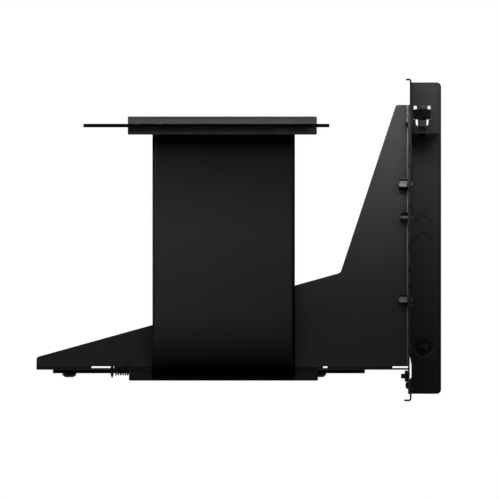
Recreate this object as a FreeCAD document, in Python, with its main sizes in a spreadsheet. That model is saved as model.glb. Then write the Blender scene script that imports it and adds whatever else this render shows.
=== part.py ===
import FreeCAD, Part
import math
import os
import re
import Sketcher

# A bracket that holds a graphics card upright at the rear of a computer case.
# The sizes are measured from three card planes: across from the rear panel's outer face, which is zero on X
# with the rear of the case at +X; in depth from the middle of the card slot, which is zero on Y with the
# motherboard at -Y; and in height from the underside of the shelf, which is zero on Z.
# The finished pieces are set down with the case screw, where it meets the case, at the origin.

doc = FreeCAD.newDocument("vertical_card_bracket")
sheet = doc.addObject("Spreadsheet::Sheet", "Size")

SIZES = (
    ("steel_gauge", "0.8", "thickness of the folded sheets"),
    ("bend_inside", "0.4", "inner radius of the folds"),
    ("running_gap", "0.05", "clearance of a piece that turns or slides"),
    ("free_gap", "0.4", "clearance of a piece that passes through a hole"),
    ("frame_top", "131.0", "height of the rear frame's top lip"),
    ("frame_drop", "14.15", "depth of its bottom lip under the shelf"),
    ("top_lip", "2.5", "width of the top lip"),
    ("bottom_lip", "3.3", "width of the bottom lip"),
    ("panel_near", "36.0", "reach of the panel towards the motherboard"),
    ("flange_reach", "13.3", "width of the flange"),
    ("flange_top", "129.3", "height of the flange's top edge"),
    ("flange_drop", "10.85", "depth of its bottom edge under the shelf"),
    ("flange_corner", "2.0", "radius of its outer corners"),
    ("corner_relief", "2.4", "width of the cut between lip and flange"),
    ("channel_depth", "0.7", "how far the tongue channel bulges out of the panel"),
    ("channel_top", "6.1", "height where the channel starts"),
    ("channel_lead", "3.9", "height of its sloping lead-in"),
    ("channel_foot", "4.3", "depth of its lower end under the shelf"),
    ("channel_step", "1.0", "height of its lower step"),
    ("channel_clear", "5.0", "length of the cut where the channel meets the flange"),
    ("opening_near", "4.5", "reach of the connector opening towards the motherboard"),
    ("opening_width", "60.5", "depth of the opening, three card slots"),
    ("flange_land", "3.2", "strip of panel between the opening and the flange face"),
    ("opening_sill", "8.0", "height of its lower edge"),
    ("opening_head", "101.0", "height of its upper edge"),
    ("opening_corner", "1.5", "radius of its corners"),
    ("tab_seat", "107.2", "height of the ledge that the card's tab rests on"),
    ("tab_window", "11.8", "height of the window over the ledge"),
    ("ledge_reach", "12.8", "width of the ledge"),
    ("slot_pitch", "20.32", "distance between card slots"),
    ("tab_screw_x", "4.8", "distance of the tab screws from the panel"),
    ("tab_screw_y", "5.8", "depth of the first tab screw"),
    ("window_near", "1.0", "distance of the flange window from the panel"),
    ("window_width", "7.5", "width of the flange window"),
    ("window_sill", "112.6", "height of its lower edge"),
    ("window_height", "6.1", "height of the flange window"),
    ("window_waist", "0.9", "how much narrower the window's lower part is on each side"),
    ("window_throat", "3.0", "height of that lower part"),
    ("window_corner", "1.5", "radius of its lower corners"),
    ("case_screw_x", "5.4", "distance of the case screw from the panel"),
    ("case_screw_z", "10.35", "height of the case screw"),
    ("case_hole", "3.7", "radius of the hole for the case screw"),
    ("arrow_x", "5.4", "distance of the pressed arrows from the panel"),
    ("arrow_half", "4.0", "half the width of an arrow"),
    ("arrow_drop", "3.4", "drop of an arrow's arm"),
    ("arrow_band", "2.0", "height of an arrow's arm"),
    ("arrow_high", "69.8", "height of the upper arrow's point"),
    ("arrow_pitch", "7.4", "distance between the arrows"),
    ("arrow_depth", "0.3", "depth of the pressing"),
    ("dimple_inset", "0.4", "distance of the contact dimples from the panel's edge"),
    ("dimple_width", "1.3", "width of a contact dimple"),
    ("dimple_height", "2.9", "height of a contact dimple"),
    ("dimple_rise", "0.45", "rise of a contact dimple"),
    ("inner_dimple", "27.1", "height of the lowest dimple on the panel's inner face"),
    ("inner_pitch", "18.2", "distance between dimples there"),
    ("middle_dimple", "37.4", "height of the lowest dimple of the row between them"),
    ("outer_dimple", "17.0", "height of the lowest dimple on the outer face"),
    ("outer_pitch", "20.5", "distance between dimples there"),
    ("gusset_depth", "21.0", "depth of the gusset in front of the slot"),
    ("gusset_toe", "5.7", "height of the gusset's front edge"),
    ("gusset_bay", "32.0", "distance of the gusset's inner corner from the panel"),
    ("gusset_bay_z", "43.65", "height of that corner"),
    ("gusset_head", "7.0", "distance of the gusset's upper corner from the panel"),
    ("gusset_top", "119.2", "height of the gusset's top edge"),
    ("toe_radius", "1.5", "radius of the gusset's front corner"),
    ("bay_radius", "2.2", "radius of the gusset's inner corner"),
    ("head_radius", "1.6", "radius of the gusset's upper corner"),
    ("rear_flange", "13.0", "width of the bracket's rear flange"),
    ("rear_flange_drop", "10.9", "how far the rear flange hangs under the shelf"),
    ("shelf_depth", "12.0", "reach of the shelf behind the slot"),
    ("shelf_back_gap", "0.6", "gap between shelf and panel"),
    ("shelf_corner", "2.5", "radius of the shelf's corners"),
    ("relief_length", "7.0", "length of the relief cut at the bracket's corner"),
    ("relief_height", "0.75", "height of the cuts over the shelf"),
    ("drain_offset", "1.8", "distance of the small cut from the rear board screw"),
    ("drain_length", "1.9", "length of the small cut"),
    ("fixing_y", "28.0", "depth of the rear flange's fasteners in front of the slot"),
    ("stud_radius", "1.25", "radius of the studs, screw and foot bolt"),
    ("stud_head", "2.2", "radius of the heads behind the panel"),
    ("stud_head_rise", "0.5", "rise of those heads"),
    ("upper_nut_z", "83.2", "height of the upper nut"),
    ("lower_nut_z", "31.1", "height of the lower nut"),
    ("nut_across", "4.7", "width of the tall nuts across their flats"),
    ("nut_height", "4.1", "height of the tall nuts"),
    ("dome_screw_z", "68.5", "height of the dome-headed screw"),
    ("dome_radius", "2.25", "radius of its head"),
    ("dome_height", "3.5", "height of its head"),
    ("dome_round", "0.9", "rounding of its head"),
    ("locator_z", "110.3", "height of the locating rivet"),
    ("locator_radius", "1.15", "radius of the locating rivet's head"),
    ("locator_rise", "1.4", "rise of its head"),
    ("rivet_shank", "0.8", "radius of the rivets' shanks"),
    ("foot_bolt_drop", "2.85", "depth of the foot bolt under the shelf"),
    ("foot_bolt_tail", "3.2", "how far the foot bolt stands out"),
    ("foot_nut_across", "4.5", "width of the foot nut"),
    ("foot_nut_height", "1.5", "height of the foot nut"),
    ("foot_rivet_drop", "7.0", "depth of the foot rivet under the shelf"),
    ("foot_rivet_radius", "1.6", "radius of the foot rivet's head"),
    ("foot_rivet_rise", "1.15", "rise of its head"),
    ("board_margin", "7.4", "length of the slot board in front of its screw"),
    ("bracket_margin", "7.4", "length of the riser bracket in front of the slot board"),
    ("board_back", "21.0", "rear edge of the slot board"),
    ("board_near", "19.0", "reach of the slot board towards the motherboard"),
    ("board_far", "8.0", "reach of the slot board behind the slot"),
    ("board_gauge", "1.6", "thickness of both boards"),
    ("board_corner", "1.5", "radius of the slot board's corners"),
    ("key_x", "58.5", "distance of the slot's key from the panel"),
    ("slot_short", "14.5", "length of the slot from its key to its rear end"),
    ("slot_long", "74.5", "length of the slot from its key to its front end"),
    ("slot_half", "3.75", "half the width of the slot's body"),
    ("slot_height", "11.25", "height of the slot's body"),
    ("slot_wall", "1.4", "thickness of the slot's end walls"),
    ("slot_floor", "2.6", "thickness of the slot's floor"),
    ("slot_roof", "1.7", "height of the slot's mouth"),
    ("mouth_half", "0.95", "half the width of the slot's mouth"),
    ("cavity_half", "1.5", "half the width of the slot's contact cavity"),
    ("key_half", "0.9", "half the thickness of the slot's key"),
    ("contact_pitch", "1.0", "distance between contacts"),
    ("contact_width", "0.6", "width of a contact"),
    ("contact_reach", "0.6", "how far a contact stands into the cavity"),
    ("contact_key_gap", "1.5", "distance of the first contact from the key"),
    ("arm_offset", "2.4", "distance of the latch's arm from the slot"),
    ("arm_width", "1.3", "width of the latch's arm"),
    ("latch_gauge", "0.65", "thickness of the latch's plate"),
    ("latch_travel", "7.5", "travel of the latch"),
    ("latch_lift", "1.15", "height of the latch's plate over the shelf"),
    ("latch_clear", "1.6", "gap between the hook's nose and the slot"),
    ("latch_tail", "2.0", "how far the latch's plate reaches along the slot"),
    ("latch_lip", "3.0", "length of the plate in front of the guide rivet"),
    ("arm_step", "1.5", "depth of the step that joins arm and plate"),
    ("slit_room", "1.1", "gap in front of the arm when it is pulled right out"),
    ("latch_near", "19.5", "near edge of the latch's plate"),
    ("latch_far", "6.0", "far edge of the latch's plate"),
    ("tower_length", "5.0", "length of the latch's hook"),
    ("tower_half", "2.6", "half the width of the hook"),
    ("tower_top", "10.0", "height of the hook"),
    ("nose_reach", "3.0", "reach of the hook's nose"),
    ("nose_height", "2.4", "height of the hook's nose"),
    ("pull_depth", "24.6", "depth of the pull tab"),
    ("pull_gauge", "0.8", "thickness of the pull tab"),
    ("pull_drop", "4.0", "how far the pull tab hangs under the shelf"),
    ("pull_point", "1.6", "height of the pull tab's point"),
    ("guide_offset", "3.9", "distance of the guide rivet from the hook"),
    ("guide_collar", "2.0", "radius of the guide rivet's collar"),
    ("guide_y", "12.0", "depth of the guide rivet in front of the slot"),
    ("guide_radius", "1.2", "radius of the guide rivet"),
    ("guide_head", "2.2", "radius of its head"),
    ("guide_head_rise", "0.8", "height of its head"),
    ("spring_radius", "1.58", "radius of the spring's coil, at the wire's middle"),
    ("spring_wire", "0.27", "radius of the spring's wire"),
    ("spring_pitch", "1.05", "distance between the spring's turns"),
    ("spring_drop", "0.8", "depth of the spring's axis under the shelf"),
    ("spring_length", "6.26", "length of the spring between the wire's ends"),
    ("eye_radius", "0.35", "radius of the two eyes beside the spring"),
    ("eye_offset", "1.5", "distance of the first eye from the lug"),
    ("eye_pitch", "2.1", "distance between the eyes"),
    ("lug_rise", "3.2", "height of the spring lug"),
    ("lug_width", "4.4", "how far the spring lug stands out"),
    ("screw_room", "3.9", "distance of the front board screw from the hook pulled right out"),
    ("screw_gap", "2.4", "distance of the rear board screw from the slot"),
    ("board_screw_end", "1.8", "how far the board screws stand out of the shelf"),
    ("board_screw_radius", "1.25", "radius of the board screws"),
    ("board_screw_head", "3.2", "radius of their heads"),
    ("board_screw_rise", "1.75", "height of their heads"),
    ("cover_front", "127.2", "front end of the slot's cable cover"),
    ("cover_back", "42.1", "rear end of the slot's cable cover"),
    ("cover_far", "7.0", "far face of the slot's cable cover"),
    ("cover_height", "3.3", "height of each cable cover"),
    ("cover_round", "0.5", "rounding of the cable covers"),
    ("ribbon_front", "116.6", "front edge of the ribbon"),
    ("ribbon_back", "52.5", "rear edge of the ribbon"),
    ("ribbon_gauge", "1.4", "thickness of the ribbon"),
    ("ribbon_upper", "14.0", "radius of the ribbon's upper bend"),
    ("ribbon_lower", "25.0", "radius of the ribbon's lower bend"),
    ("ribbon_lead", "0.7", "straight length of the ribbon outside a cover"),
    ("ribbon_grip", "4.3", "length of the ribbon inside the plug's covers"),
    ("ribbon_joint", "10.5", "length of the ribbon soldered under the slot board"),
    ("plug_height", "109.1", "height of the plug board's underside"),
    ("plug_front", "147.7", "front end of the plug board"),
    ("plug_back", "37.0", "rear end of the plug board"),
    ("plug_cover_front", "127.7", "front end of the plug's covers"),
    ("plug_cover_back", "42.6", "rear end of the plug's covers"),
    ("plug_cover_near", "34.65", "near face of the plug's covers"),
    ("plug_cover_depth", "12.0", "depth of the plug's covers"),
    ("plug_shoulder", "0.85", "how far the plug board stands out of its covers"),
    ("tongue_long", "72.9", "length of the tongue from its notch to its front end"),
    ("tongue_short", "12.0", "length of the tongue from its notch to its rear end"),
    ("tongue_depth", "7.9", "depth of the tongue"),
    ("notch_half", "0.95", "half the width of the tongue's notch"),
    ("notch_left", "0.6", "board left at the root of the notch"),
    ("tongue_chamfer", "0.4", "chamfer of the tongue's edge"),
    ("hook_gap", "3.0", "gap between tongue and retention hook"),
    ("hook_width", "5.0", "width of the retention hook"),
    ("hook_depth", "6.0", "depth of the retention hook"),
    ("hook_notch", "1.8", "depth of the notch that the latch catches"),
    ("neck_radius", "1.6", "radius of a tab screw's neck"),
    ("tab_shoulder", "2.0", "radius of the shoulder under a tab screw's head"),
    ("tab_shoulder_height", "2.9", "height of that shoulder"),
    ("tab_head_radius", "3.85", "radius of a tab screw's head"),
    ("tab_head_height", "4.7", "height of a tab screw's head"),
    ("tab_head_lift", "5.4", "gap under a tab screw's head"),
    ("tab_crown_radius", "2.45", "radius of the crown on the head"),
    ("tab_crown_height", "1.6", "height of that crown"),
    ("tab_thread", "1.8", "outer radius of a tab screw's thread"),
    ("tab_tip", "0.9", "chamfer of a tab screw's end"),
    ("tab_tip_drop", "3.8", "how far a tab screw's end hangs under the ledge seat"),
    ("tip_chamfer", "0.6", "chamfer of the screw ends"),
    ("head_chamfer", "0.4", "chamfer of the thumbscrew heads"),
    ("thread_radius", "1.75", "outer radius of the case screw's thread"),
    ("case_neck", "2.05", "radius of the case screw's neck"),
    ("case_thread", "5.5", "length of the case screw's thread past the flange"),
    ("case_head_radius", "5.5", "radius of the case screw's head"),
    ("case_head_height", "7.0", "height of the case screw's head"),
    ("ferrule_base", "5.6", "radius of the ferrule's foot"),
    ("ferrule_base_height", "0.9", "height of the ferrule's foot"),
    ("ferrule_radius", "4.2", "radius of the ferrule"),
    ("ferrule_height", "4.0", "height of the ferrule"),
    ("clip_seat", "1.5", "radius of the groove that the retaining clip sits in"),
    ("clip_radius", "2.5", "radius of the retaining clip"),
    ("clip_height", "0.6", "thickness of the retaining clip"),
)
FOLLOWING = (
    ("case_seat", "opening_width - opening_near + flange_land", "depth of the flange face that lies on the case"),
    ("slot_front", "key_x + slot_long", "distance of the slot's front end from the panel"),
    ("slot_back", "key_x - slot_short", "distance of the slot's rear end from the panel"),
    ("arm_front", "slot_front + arm_offset", "front edge of the latch's arm"),
    ("arm_back", "arm_front - arm_width", "rear edge of the latch's arm"),
    ("tower_back", "slot_front + latch_clear + nose_reach", "rear face of the latch's hook"),
    ("tower_front", "tower_back + tower_length", "front face of the latch's hook"),
    ("guide_x", "tower_front + guide_offset", "distance of the guide rivet from the panel"),
    ("latch_front", "guide_x + latch_lip", "front edge of the latch's plate"),
    ("latch_back", "slot_front - latch_tail", "rear edge of the latch's plate"),
    ("lug_front", "arm_back - spring_length - 2 * spring_wire - 2 * running_gap", "front face of the spring lug"),
    ("board_screw_front", "tower_front + latch_travel + screw_room", "place of the front board screw"),
    ("board_screw_back", "slot_back - screw_gap", "place of the rear board screw"),
    ("drain_x", "board_screw_back - drain_offset", "front end of the small cut"),
    ("board_front", "board_screw_front + board_margin", "front edge of the slot board"),
    ("bracket_front", "board_front + bracket_margin", "length of the riser bracket in front of the panel"),
)
rows = [(alias, number, meaning) for alias, number, meaning in SIZES]
rows += [(alias, "=" + text, meaning) for alias, text, meaning in FOLLOWING]
for row, (alias, number, meaning) in enumerate(rows, start=1):
    sheet.set(f"A{row}", meaning)
    sheet.set(f"B{row}", number)
    sheet.setAlias(f"B{row}", alias)
doc.recompute()

CARD_SLOTS = 3
DIMPLES = 5
AXIS_X = FreeCAD.Vector(1, 0, 0)
AXIS_Y = FreeCAD.Vector(0, 1, 0)
AXIS_Z = FreeCAD.Vector(0, 0, 1)
TURNS = {
    "+X": FreeCAD.Rotation(AXIS_Y, 90),
    "-X": FreeCAD.Rotation(AXIS_Y, -90),
    "+Y": FreeCAD.Rotation(AXIS_X, -90),
    "-Y": FreeCAD.Rotation(AXIS_X, 90),
    "+Z": FreeCAD.Rotation(),
    "-Z": FreeCAD.Rotation(AXIS_X, 180),
}
pieces = []


def size(alias):
    """A size of the sheet as a number."""
    return float(sheet.get(alias))


def formula(text):
    """An expression in which every size is looked up in the sheet."""
    return re.sub(r"[a-z]+(?:_[a-z]+)+", lambda word: "Size." + word.group(), text)


def bind(item, **sizes):
    """Tie properties of an object to expressions."""
    for name, text in sizes.items():
        item.setExpression(name, formula(text))


def finish(name, item, x="0", y="0", z="0", axis="+Z"):
    """Name a finished piece and set it down in the part's frame."""
    item.Label = name
    item.Placement = FreeCAD.Placement(FreeCAD.Vector(), TURNS[axis])
    item.setExpression("Placement.Base.x", formula(f"{x} - case_screw_x"))
    item.setExpression("Placement.Base.y", formula(f"{y} - case_seat"))
    item.setExpression("Placement.Base.z", formula(f"{z} - case_screw_z"))
    pieces.append(item)


def group(name, members):
    """Put like pieces together in one named compound; each keeps its own placement."""
    for member in members:
        pieces.remove(member)
    whole = doc.addObject("Part::Compound", name)
    whole.Label = name
    whole.Links = members
    pieces.append(whole)


def pin(drawing, geometry, point, across, up):
    """Hold a point of a sketch at a place worked out from the sheet, measured from the sketch's origin."""
    now = drawing.getPoint(geometry, point)
    for kind, value, text in (("DistanceX", now.x, across), ("DistanceY", now.y, up)):
        rule = Sketcher.Constraint(kind, -1, 1, geometry, point, value)
        index = drawing.addConstraint(rule)
        drawing.setExpression(f"Constraints[{index}]", formula(text))


def add_outline(drawing, corners):
    """Draw a closed outline through corners given as expressions; a line starts at its point 1 and ends at 2."""
    count = len(corners)
    first = drawing.GeometryCount
    angles = [2 * math.pi * index / count for index in range(count)]
    places = [FreeCAD.Vector(math.cos(angle), math.sin(angle), 0) for angle in angles]
    for index in range(count):
        drawing.addGeometry(Part.LineSegment(places[index], places[(index + 1) % count]), False)
    for index in range(count):
        before = first + (index - 1) % count
        drawing.addConstraint(Sketcher.Constraint("Coincident", before, 2, first + index, 1))
    for index, (across, up) in enumerate(corners):
        pin(drawing, first + index, 1, across, up)


def add_circle(drawing, across, up, radius):
    """Draw a circle whose centre, its point 3, and radius are expressions."""
    circle = drawing.addGeometry(Part.Circle(FreeCAD.Vector(1, 1, 0), AXIS_Z, 1.0), False)
    pin(drawing, circle, 3, across, up)
    index = drawing.addConstraint(Sketcher.Constraint("Radius", circle, 1.0))
    drawing.setExpression(f"Constraints[{index}]", formula(radius))


def draw(body, name, plane, level, outlines=(), circles=()):
    """Make a sketch on one of the body's own planes, moved along its normal to a level."""
    drawing = body.newObject("Sketcher::SketchObject", name)
    support = next(item for item in body.Origin.OriginFeatures if item.Role == plane + "_Plane")
    drawing.AttachmentSupport = [(support, "")]
    drawing.MapMode = "FlatFace"
    drawing.setExpression("AttachmentOffset.Base.z", formula(level))
    for corners in outlines:
        add_outline(drawing, corners)
    for across, up, radius in circles:
        add_circle(drawing, across, up, radius)
    return drawing


def pad(body, name, plane, low, high, outlines=(), circles=()):
    """Add material between two levels; the XZ plane's normal points along -Y."""
    level = f"-({high})" if plane == "XZ" else low
    drawing = draw(body, name + "_sketch", plane, level, outlines, circles)
    feature = body.newObject("PartDesign::Pad", name)
    feature.Profile = drawing
    bind(feature, Length=f"({high}) - ({low})")


def pocket(body, name, plane, low, high, outlines=(), circles=()):
    """Cut material away between two levels."""
    level = f"-({low})" if plane == "XZ" else high
    drawing = draw(body, name + "_sketch", plane, level, outlines, circles)
    feature = body.newObject("PartDesign::Pocket", name)
    feature.Profile = drawing
    bind(feature, Length=f"({high}) - ({low})")


def box(across_low, across_high, up_low, up_high):
    """The four corners of a rectangle."""
    return [
        (across_low, up_low),
        (across_high, up_low),
        (across_high, up_high),
        (across_low, up_high),
    ]


def on_line(edge, **place):
    """Is this straight edge parallel to the missing axis, at the place given for the other two?"""
    if not isinstance(edge.Curve, Part.Line):
        return False
    ends = [vertex.Point for vertex in edge.Vertexes]
    return all(abs(getattr(end, side) - value) < 0.001 for end in ends for side, value in place.items())


def edges_at(body, *places):
    """The body's newest feature with the names of its straight edges at the given places."""
    doc.recompute()
    edges = enumerate(body.Tip.Shape.Edges, start=1)
    chosen = [f"Edge{index}" for index, edge in edges if any(on_line(edge, **place) for place in places)]
    return body.Tip, chosen


def round_edges(body, name, radius, *places):
    """Round the straight edges that lie at the given places."""
    base = edges_at(body, *places)
    feature = body.newObject("PartDesign::Fillet", name)
    feature.Base = base
    bind(feature, Radius=radius)


def new_body(name):
    """Start a piece that is built up from pads and pockets."""
    return doc.addObject("PartDesign::Body", name + "_body")


def turned(name, profile):
    """A piece turned about its own Z axis from a half profile of radii and heights."""
    body = new_body(name)
    drawing = draw(body, name + "_sketch", "XZ", "0", [profile])
    feature = body.newObject("PartDesign::Revolution", name + "_turn")
    feature.Profile = drawing
    feature.ReferenceAxis = (drawing, ["V_Axis"])
    feature.Angle = 360
    return body


def hex_nut(name, across, height, bore):
    """A hex nut that stands on its lower face, with a flat to each side of its own X axis."""
    blank = doc.addObject("Part::Prism", name + "_blank")
    blank.Polygon = 6
    blank.Placement.Rotation = FreeCAD.Rotation(AXIS_Z, 30)
    bind(blank, Circumradius=f"{across} / sqrt(3)", Height=height)
    hole = doc.addObject("Part::Cylinder", name + "_bore")
    bind(hole, Radius=bore, Height=height)
    nut = doc.addObject("Part::Cut", name)
    nut.Base = blank
    nut.Tool = hole
    return nut


# Rear frame: one steel sheet with a folded panel, two lips, a flange for the case and a ledge for the card.
frame = new_body("rear_frame")
PANEL_FAR = "(case_seat + steel_gauge)"
CHANNEL_END = "(case_seat + steel_gauge - channel_clear)"
pad(frame, "panel_end", "XZ", CHANNEL_END, PANEL_FAR,
    [box("-steel_gauge", "0", "-frame_drop", "frame_top")])
outer_face = [
    ("0", "frame_top"),
    ("0", "channel_top"),
    ("channel_depth", "channel_top - channel_lead"),
    ("channel_depth", "channel_step - channel_foot"),
    ("0", "-channel_foot"),
    ("0", "-frame_drop"),
]
inner_face = [(f"{across} - steel_gauge", up) for across, up in reversed(outer_face)]
pad(frame, "panel", "XZ", "-panel_near", CHANNEL_END, [outer_face + inner_face])
pad(frame, "upper_lip", "XZ", "-panel_near", PANEL_FAR,
    [box("-top_lip", "0", "frame_top - steel_gauge", "frame_top")])
pad(frame, "lower_lip", "XZ", "-panel_near", PANEL_FAR,
    [box("-bottom_lip", "0", "-frame_drop", "steel_gauge - frame_drop")])
round_edges(frame, "lip_bends", "bend_inside + steel_gauge",
            {"x": 0, "z": size("frame_top")}, {"x": 0, "z": -size("frame_drop")})
round_edges(frame, "lip_roots", "bend_inside",
            {"x": -size("steel_gauge"), "z": size("frame_top") - size("steel_gauge")},
            {"x": -size("steel_gauge"), "z": size("steel_gauge") - size("frame_drop")})
pocket(frame, "corner_cuts", "YZ", "-top_lip - bottom_lip", "steel_gauge", [
    box(f"{PANEL_FAR} - corner_relief", f"{PANEL_FAR} + steel_gauge", "flange_top", "frame_top + steel_gauge"),
    box(f"{PANEL_FAR} - corner_relief", f"{PANEL_FAR} + steel_gauge",
        "-frame_drop - steel_gauge", "-flange_drop"),
])
pad(frame, "flange", "XZ", "case_seat", PANEL_FAR,
    [box("-steel_gauge", "flange_reach", "-flange_drop", "flange_top")])
flange_back = size("case_seat") + size("steel_gauge")
round_edges(frame, "flange_bend", "bend_inside + steel_gauge",
            {"x": -size("steel_gauge"), "y": flange_back})
round_edges(frame, "flange_root", "bend_inside", {"x": 0, "y": size("case_seat")})
round_edges(frame, "flange_corners", "flange_corner",
            {"x": size("flange_reach"), "z": size("flange_top")},
            {"x": size("flange_reach"), "z": -size("flange_drop")})
pocket(frame, "channel_cut", "XZ", CHANNEL_END, f"{PANEL_FAR} + steel_gauge",
       [box("-2 * steel_gauge", "channel_depth - steel_gauge + running_gap", "-channel_foot", "channel_top")])
OPENING_FAR = "(opening_width - opening_near)"
pocket(frame, "connector_opening", "YZ", "-2 * steel_gauge", "2 * steel_gauge",
       [box("-opening_near", OPENING_FAR, "opening_sill", "opening_head")])
opening_sides = (-size("opening_near"), size("opening_width") - size("opening_near"))
opening_edges = (size("opening_sill"), size("opening_head"))
round_edges(frame, "opening_corners", "opening_corner",
            *({"y": side, "z": edge} for side in opening_sides for edge in opening_edges))
pocket(frame, "tab_window", "YZ", "-2 * steel_gauge", "2 * steel_gauge",
       [box("-opening_near", OPENING_FAR, "tab_seat", "tab_seat + tab_window")])
pad(frame, "ledge", "XY", "tab_seat - steel_gauge", "tab_seat",
    [box("-steel_gauge", "ledge_reach", "-opening_near", OPENING_FAR)])
round_edges(frame, "ledge_root", "bend_inside",
            {"x": 0, "z": size("tab_seat") - size("steel_gauge")})
round_edges(frame, "ledge_corners", "flange_corner",
            *({"x": size("ledge_reach"), "y": side} for side in opening_sides))
tab_screws = [f"(tab_screw_y + {slot} * slot_pitch)" for slot in range(CARD_SLOTS)]
pocket(frame, "ledge_holes", "XY", "tab_seat - 2 * steel_gauge", "tab_seat + steel_gauge",
       circles=[("tab_screw_x", depth, "neck_radius + running_gap") for depth in tab_screws])
WINDOW_FAR = "(window_near + window_width)"
pocket(frame, "flange_window", "XZ", "case_seat - steel_gauge", f"{PANEL_FAR} + steel_gauge", [[
    ("window_near", "window_sill + window_height"),
    ("window_near", "window_sill"),
    ("window_near + window_waist", "window_sill"),
    ("window_near + window_waist", "window_sill - window_throat"),
    (f"{WINDOW_FAR} - window_waist", "window_sill - window_throat"),
    (f"{WINDOW_FAR} - window_waist", "window_sill"),
    (WINDOW_FAR, "window_sill"),
    (WINDOW_FAR, "window_sill + window_height"),
]])
throat_near = size("window_near") + size("window_waist")
throat_far = size("window_near") + size("window_width") - size("window_waist")
throat_foot = size("window_sill") - size("window_throat")
round_edges(frame, "window_corners", "window_corner",
            {"x": throat_near, "z": throat_foot}, {"x": throat_far, "z": throat_foot})
pocket(frame, "case_screw_hole", "XZ", "case_seat - steel_gauge", f"{PANEL_FAR} + steel_gauge",
       circles=[("case_screw_x", "case_screw_z", "case_hole")])
arrows = []
for index in range(2):
    point = f"(arrow_high - {index} * arrow_pitch)"
    upper = [
        ("arrow_x - arrow_half", f"{point} - arrow_drop"),
        ("arrow_x", point),
        ("arrow_x + arrow_half", f"{point} - arrow_drop"),
    ]
    lower = [(across, f"{up} - arrow_band") for across, up in reversed(upper)]
    arrows.append(upper + lower)
pocket(frame, "arrow_hollows", "XZ", "case_seat", "case_seat + arrow_depth", arrows)
pad(frame, "arrow_reliefs", "XZ", PANEL_FAR, f"{PANEL_FAR} + arrow_depth", arrows)


def dimples(first, pitch, count):
    """A row of contact dimples along the panel's near edge."""
    row = []
    for index in range(count):
        middle = f"({first} + {index} * {pitch})"
        row.append(box("dimple_inset - panel_near", "dimple_inset + dimple_width - panel_near",
                       f"{middle} - dimple_height / 2", f"{middle} + dimple_height / 2"))
    return row


pad(frame, "inner_dimples", "YZ", "-steel_gauge - dimple_rise", "-steel_gauge",
    dimples("inner_dimple", "inner_pitch", DIMPLES) + dimples("middle_dimple", "inner_pitch", DIMPLES - 1))
pad(frame, "outer_dimples", "YZ", "0", "dimple_rise", dimples("outer_dimple", "outer_pitch", DIMPLES))
PANEL_FIXINGS = [
    ("upper_nut_z", "stud_radius"),
    ("lower_nut_z", "stud_radius"),
    ("dome_screw_z", "stud_radius"),
    ("locator_z", "rivet_shank"),
    ("-foot_rivet_drop", "rivet_shank"),
]
fixing_holes = [("-fixing_y", up, radius) for up, radius in PANEL_FIXINGS]
pocket(frame, "panel_fixing_holes", "YZ", "-2 * steel_gauge", "2 * steel_gauge", circles=fixing_holes)
finish("rear_frame", frame)

# Riser bracket: one steel sheet with a stepped gusset, a shelf, a rear flange and a small spring lug.
riser = new_body("riser_bracket")
GUSSET_NEAR = "(-gusset_depth - steel_gauge)"
CUT_TOP = "(steel_gauge + relief_height)"
pad(riser, "gusset", "XZ", GUSSET_NEAR, "-gusset_depth", [[
    ("-bracket_front", "0"),
    ("-steel_gauge * 2 - relief_length", "0"),
    ("-steel_gauge * 2 - relief_length", CUT_TOP),
    ("-steel_gauge", CUT_TOP),
    ("-steel_gauge", "gusset_top"),
    ("-gusset_head", "gusset_top"),
    ("-gusset_bay", "gusset_bay_z"),
    ("-bracket_front", "gusset_toe"),
]])
pad(riser, "shelf", "XY", "0", "steel_gauge", [[
    ("-bracket_front", GUSSET_NEAR),
    ("-steel_gauge * 2 - relief_length", GUSSET_NEAR),
    ("-steel_gauge * 2 - relief_length", "-gusset_depth + relief_height"),
    ("-steel_gauge - shelf_back_gap", "-gusset_depth + relief_height"),
    ("-steel_gauge - shelf_back_gap", "shelf_depth"),
    ("-bracket_front", "shelf_depth"),
]])
gusset_near = -size("gusset_depth") - size("steel_gauge")
round_edges(riser, "shelf_bend", "bend_inside + steel_gauge", {"y": gusset_near, "z": 0})
round_edges(riser, "shelf_root", "bend_inside", {"y": -size("gusset_depth"), "z": size("steel_gauge")})
round_edges(riser, "gusset_toe_corner", "toe_radius",
            {"x": -size("bracket_front"), "z": size("gusset_toe")})
round_edges(riser, "gusset_bay_corner", "bay_radius",
            {"x": -size("gusset_bay"), "z": size("gusset_bay_z")})
round_edges(riser, "gusset_head_corner", "head_radius",
            {"x": -size("gusset_head"), "z": size("gusset_top")})
shelf_end = -size("steel_gauge") - size("shelf_back_gap")
round_edges(riser, "shelf_corners", "shelf_corner",
            {"x": -size("bracket_front"), "y": size("shelf_depth")},
            {"x": shelf_end, "y": size("shelf_depth")})
pad(riser, "rear_flange_plate", "YZ", "-2 * steel_gauge", "-steel_gauge",
    [box("-gusset_depth - rear_flange", "-gusset_depth", "-rear_flange_drop", "gusset_top")])
round_edges(riser, "flange_fold", "bend_inside + steel_gauge",
            {"x": -size("steel_gauge"), "y": -size("gusset_depth")})
round_edges(riser, "flange_fold_root", "bend_inside", {"x": -2 * size("steel_gauge"), "y": gusset_near})
round_edges(riser, "rear_flange_corners", "head_radius",
            {"y": -size("gusset_depth") - size("rear_flange"), "z": size("gusset_top")},
            {"y": -size("gusset_depth") - size("rear_flange"), "z": -size("rear_flange_drop")})
EYE_HEIGHT = "(steel_gauge + relief_height - eye_radius)"
pocket(riser, "latch_slit", "XZ", f"{GUSSET_NEAR} - steel_gauge", "relief_height - gusset_depth", [
    box("-arm_front - latch_travel - slit_room", "free_gap / 2 - arm_back", "steel_gauge", CUT_TOP),
    box("-drain_x", "drain_length - drain_x", "steel_gauge", CUT_TOP),
], [
    ("-lug_front - eye_offset", EYE_HEIGHT, "eye_radius"),
    ("-lug_front - eye_offset - eye_pitch", EYE_HEIGHT, "eye_radius"),
])
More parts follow.
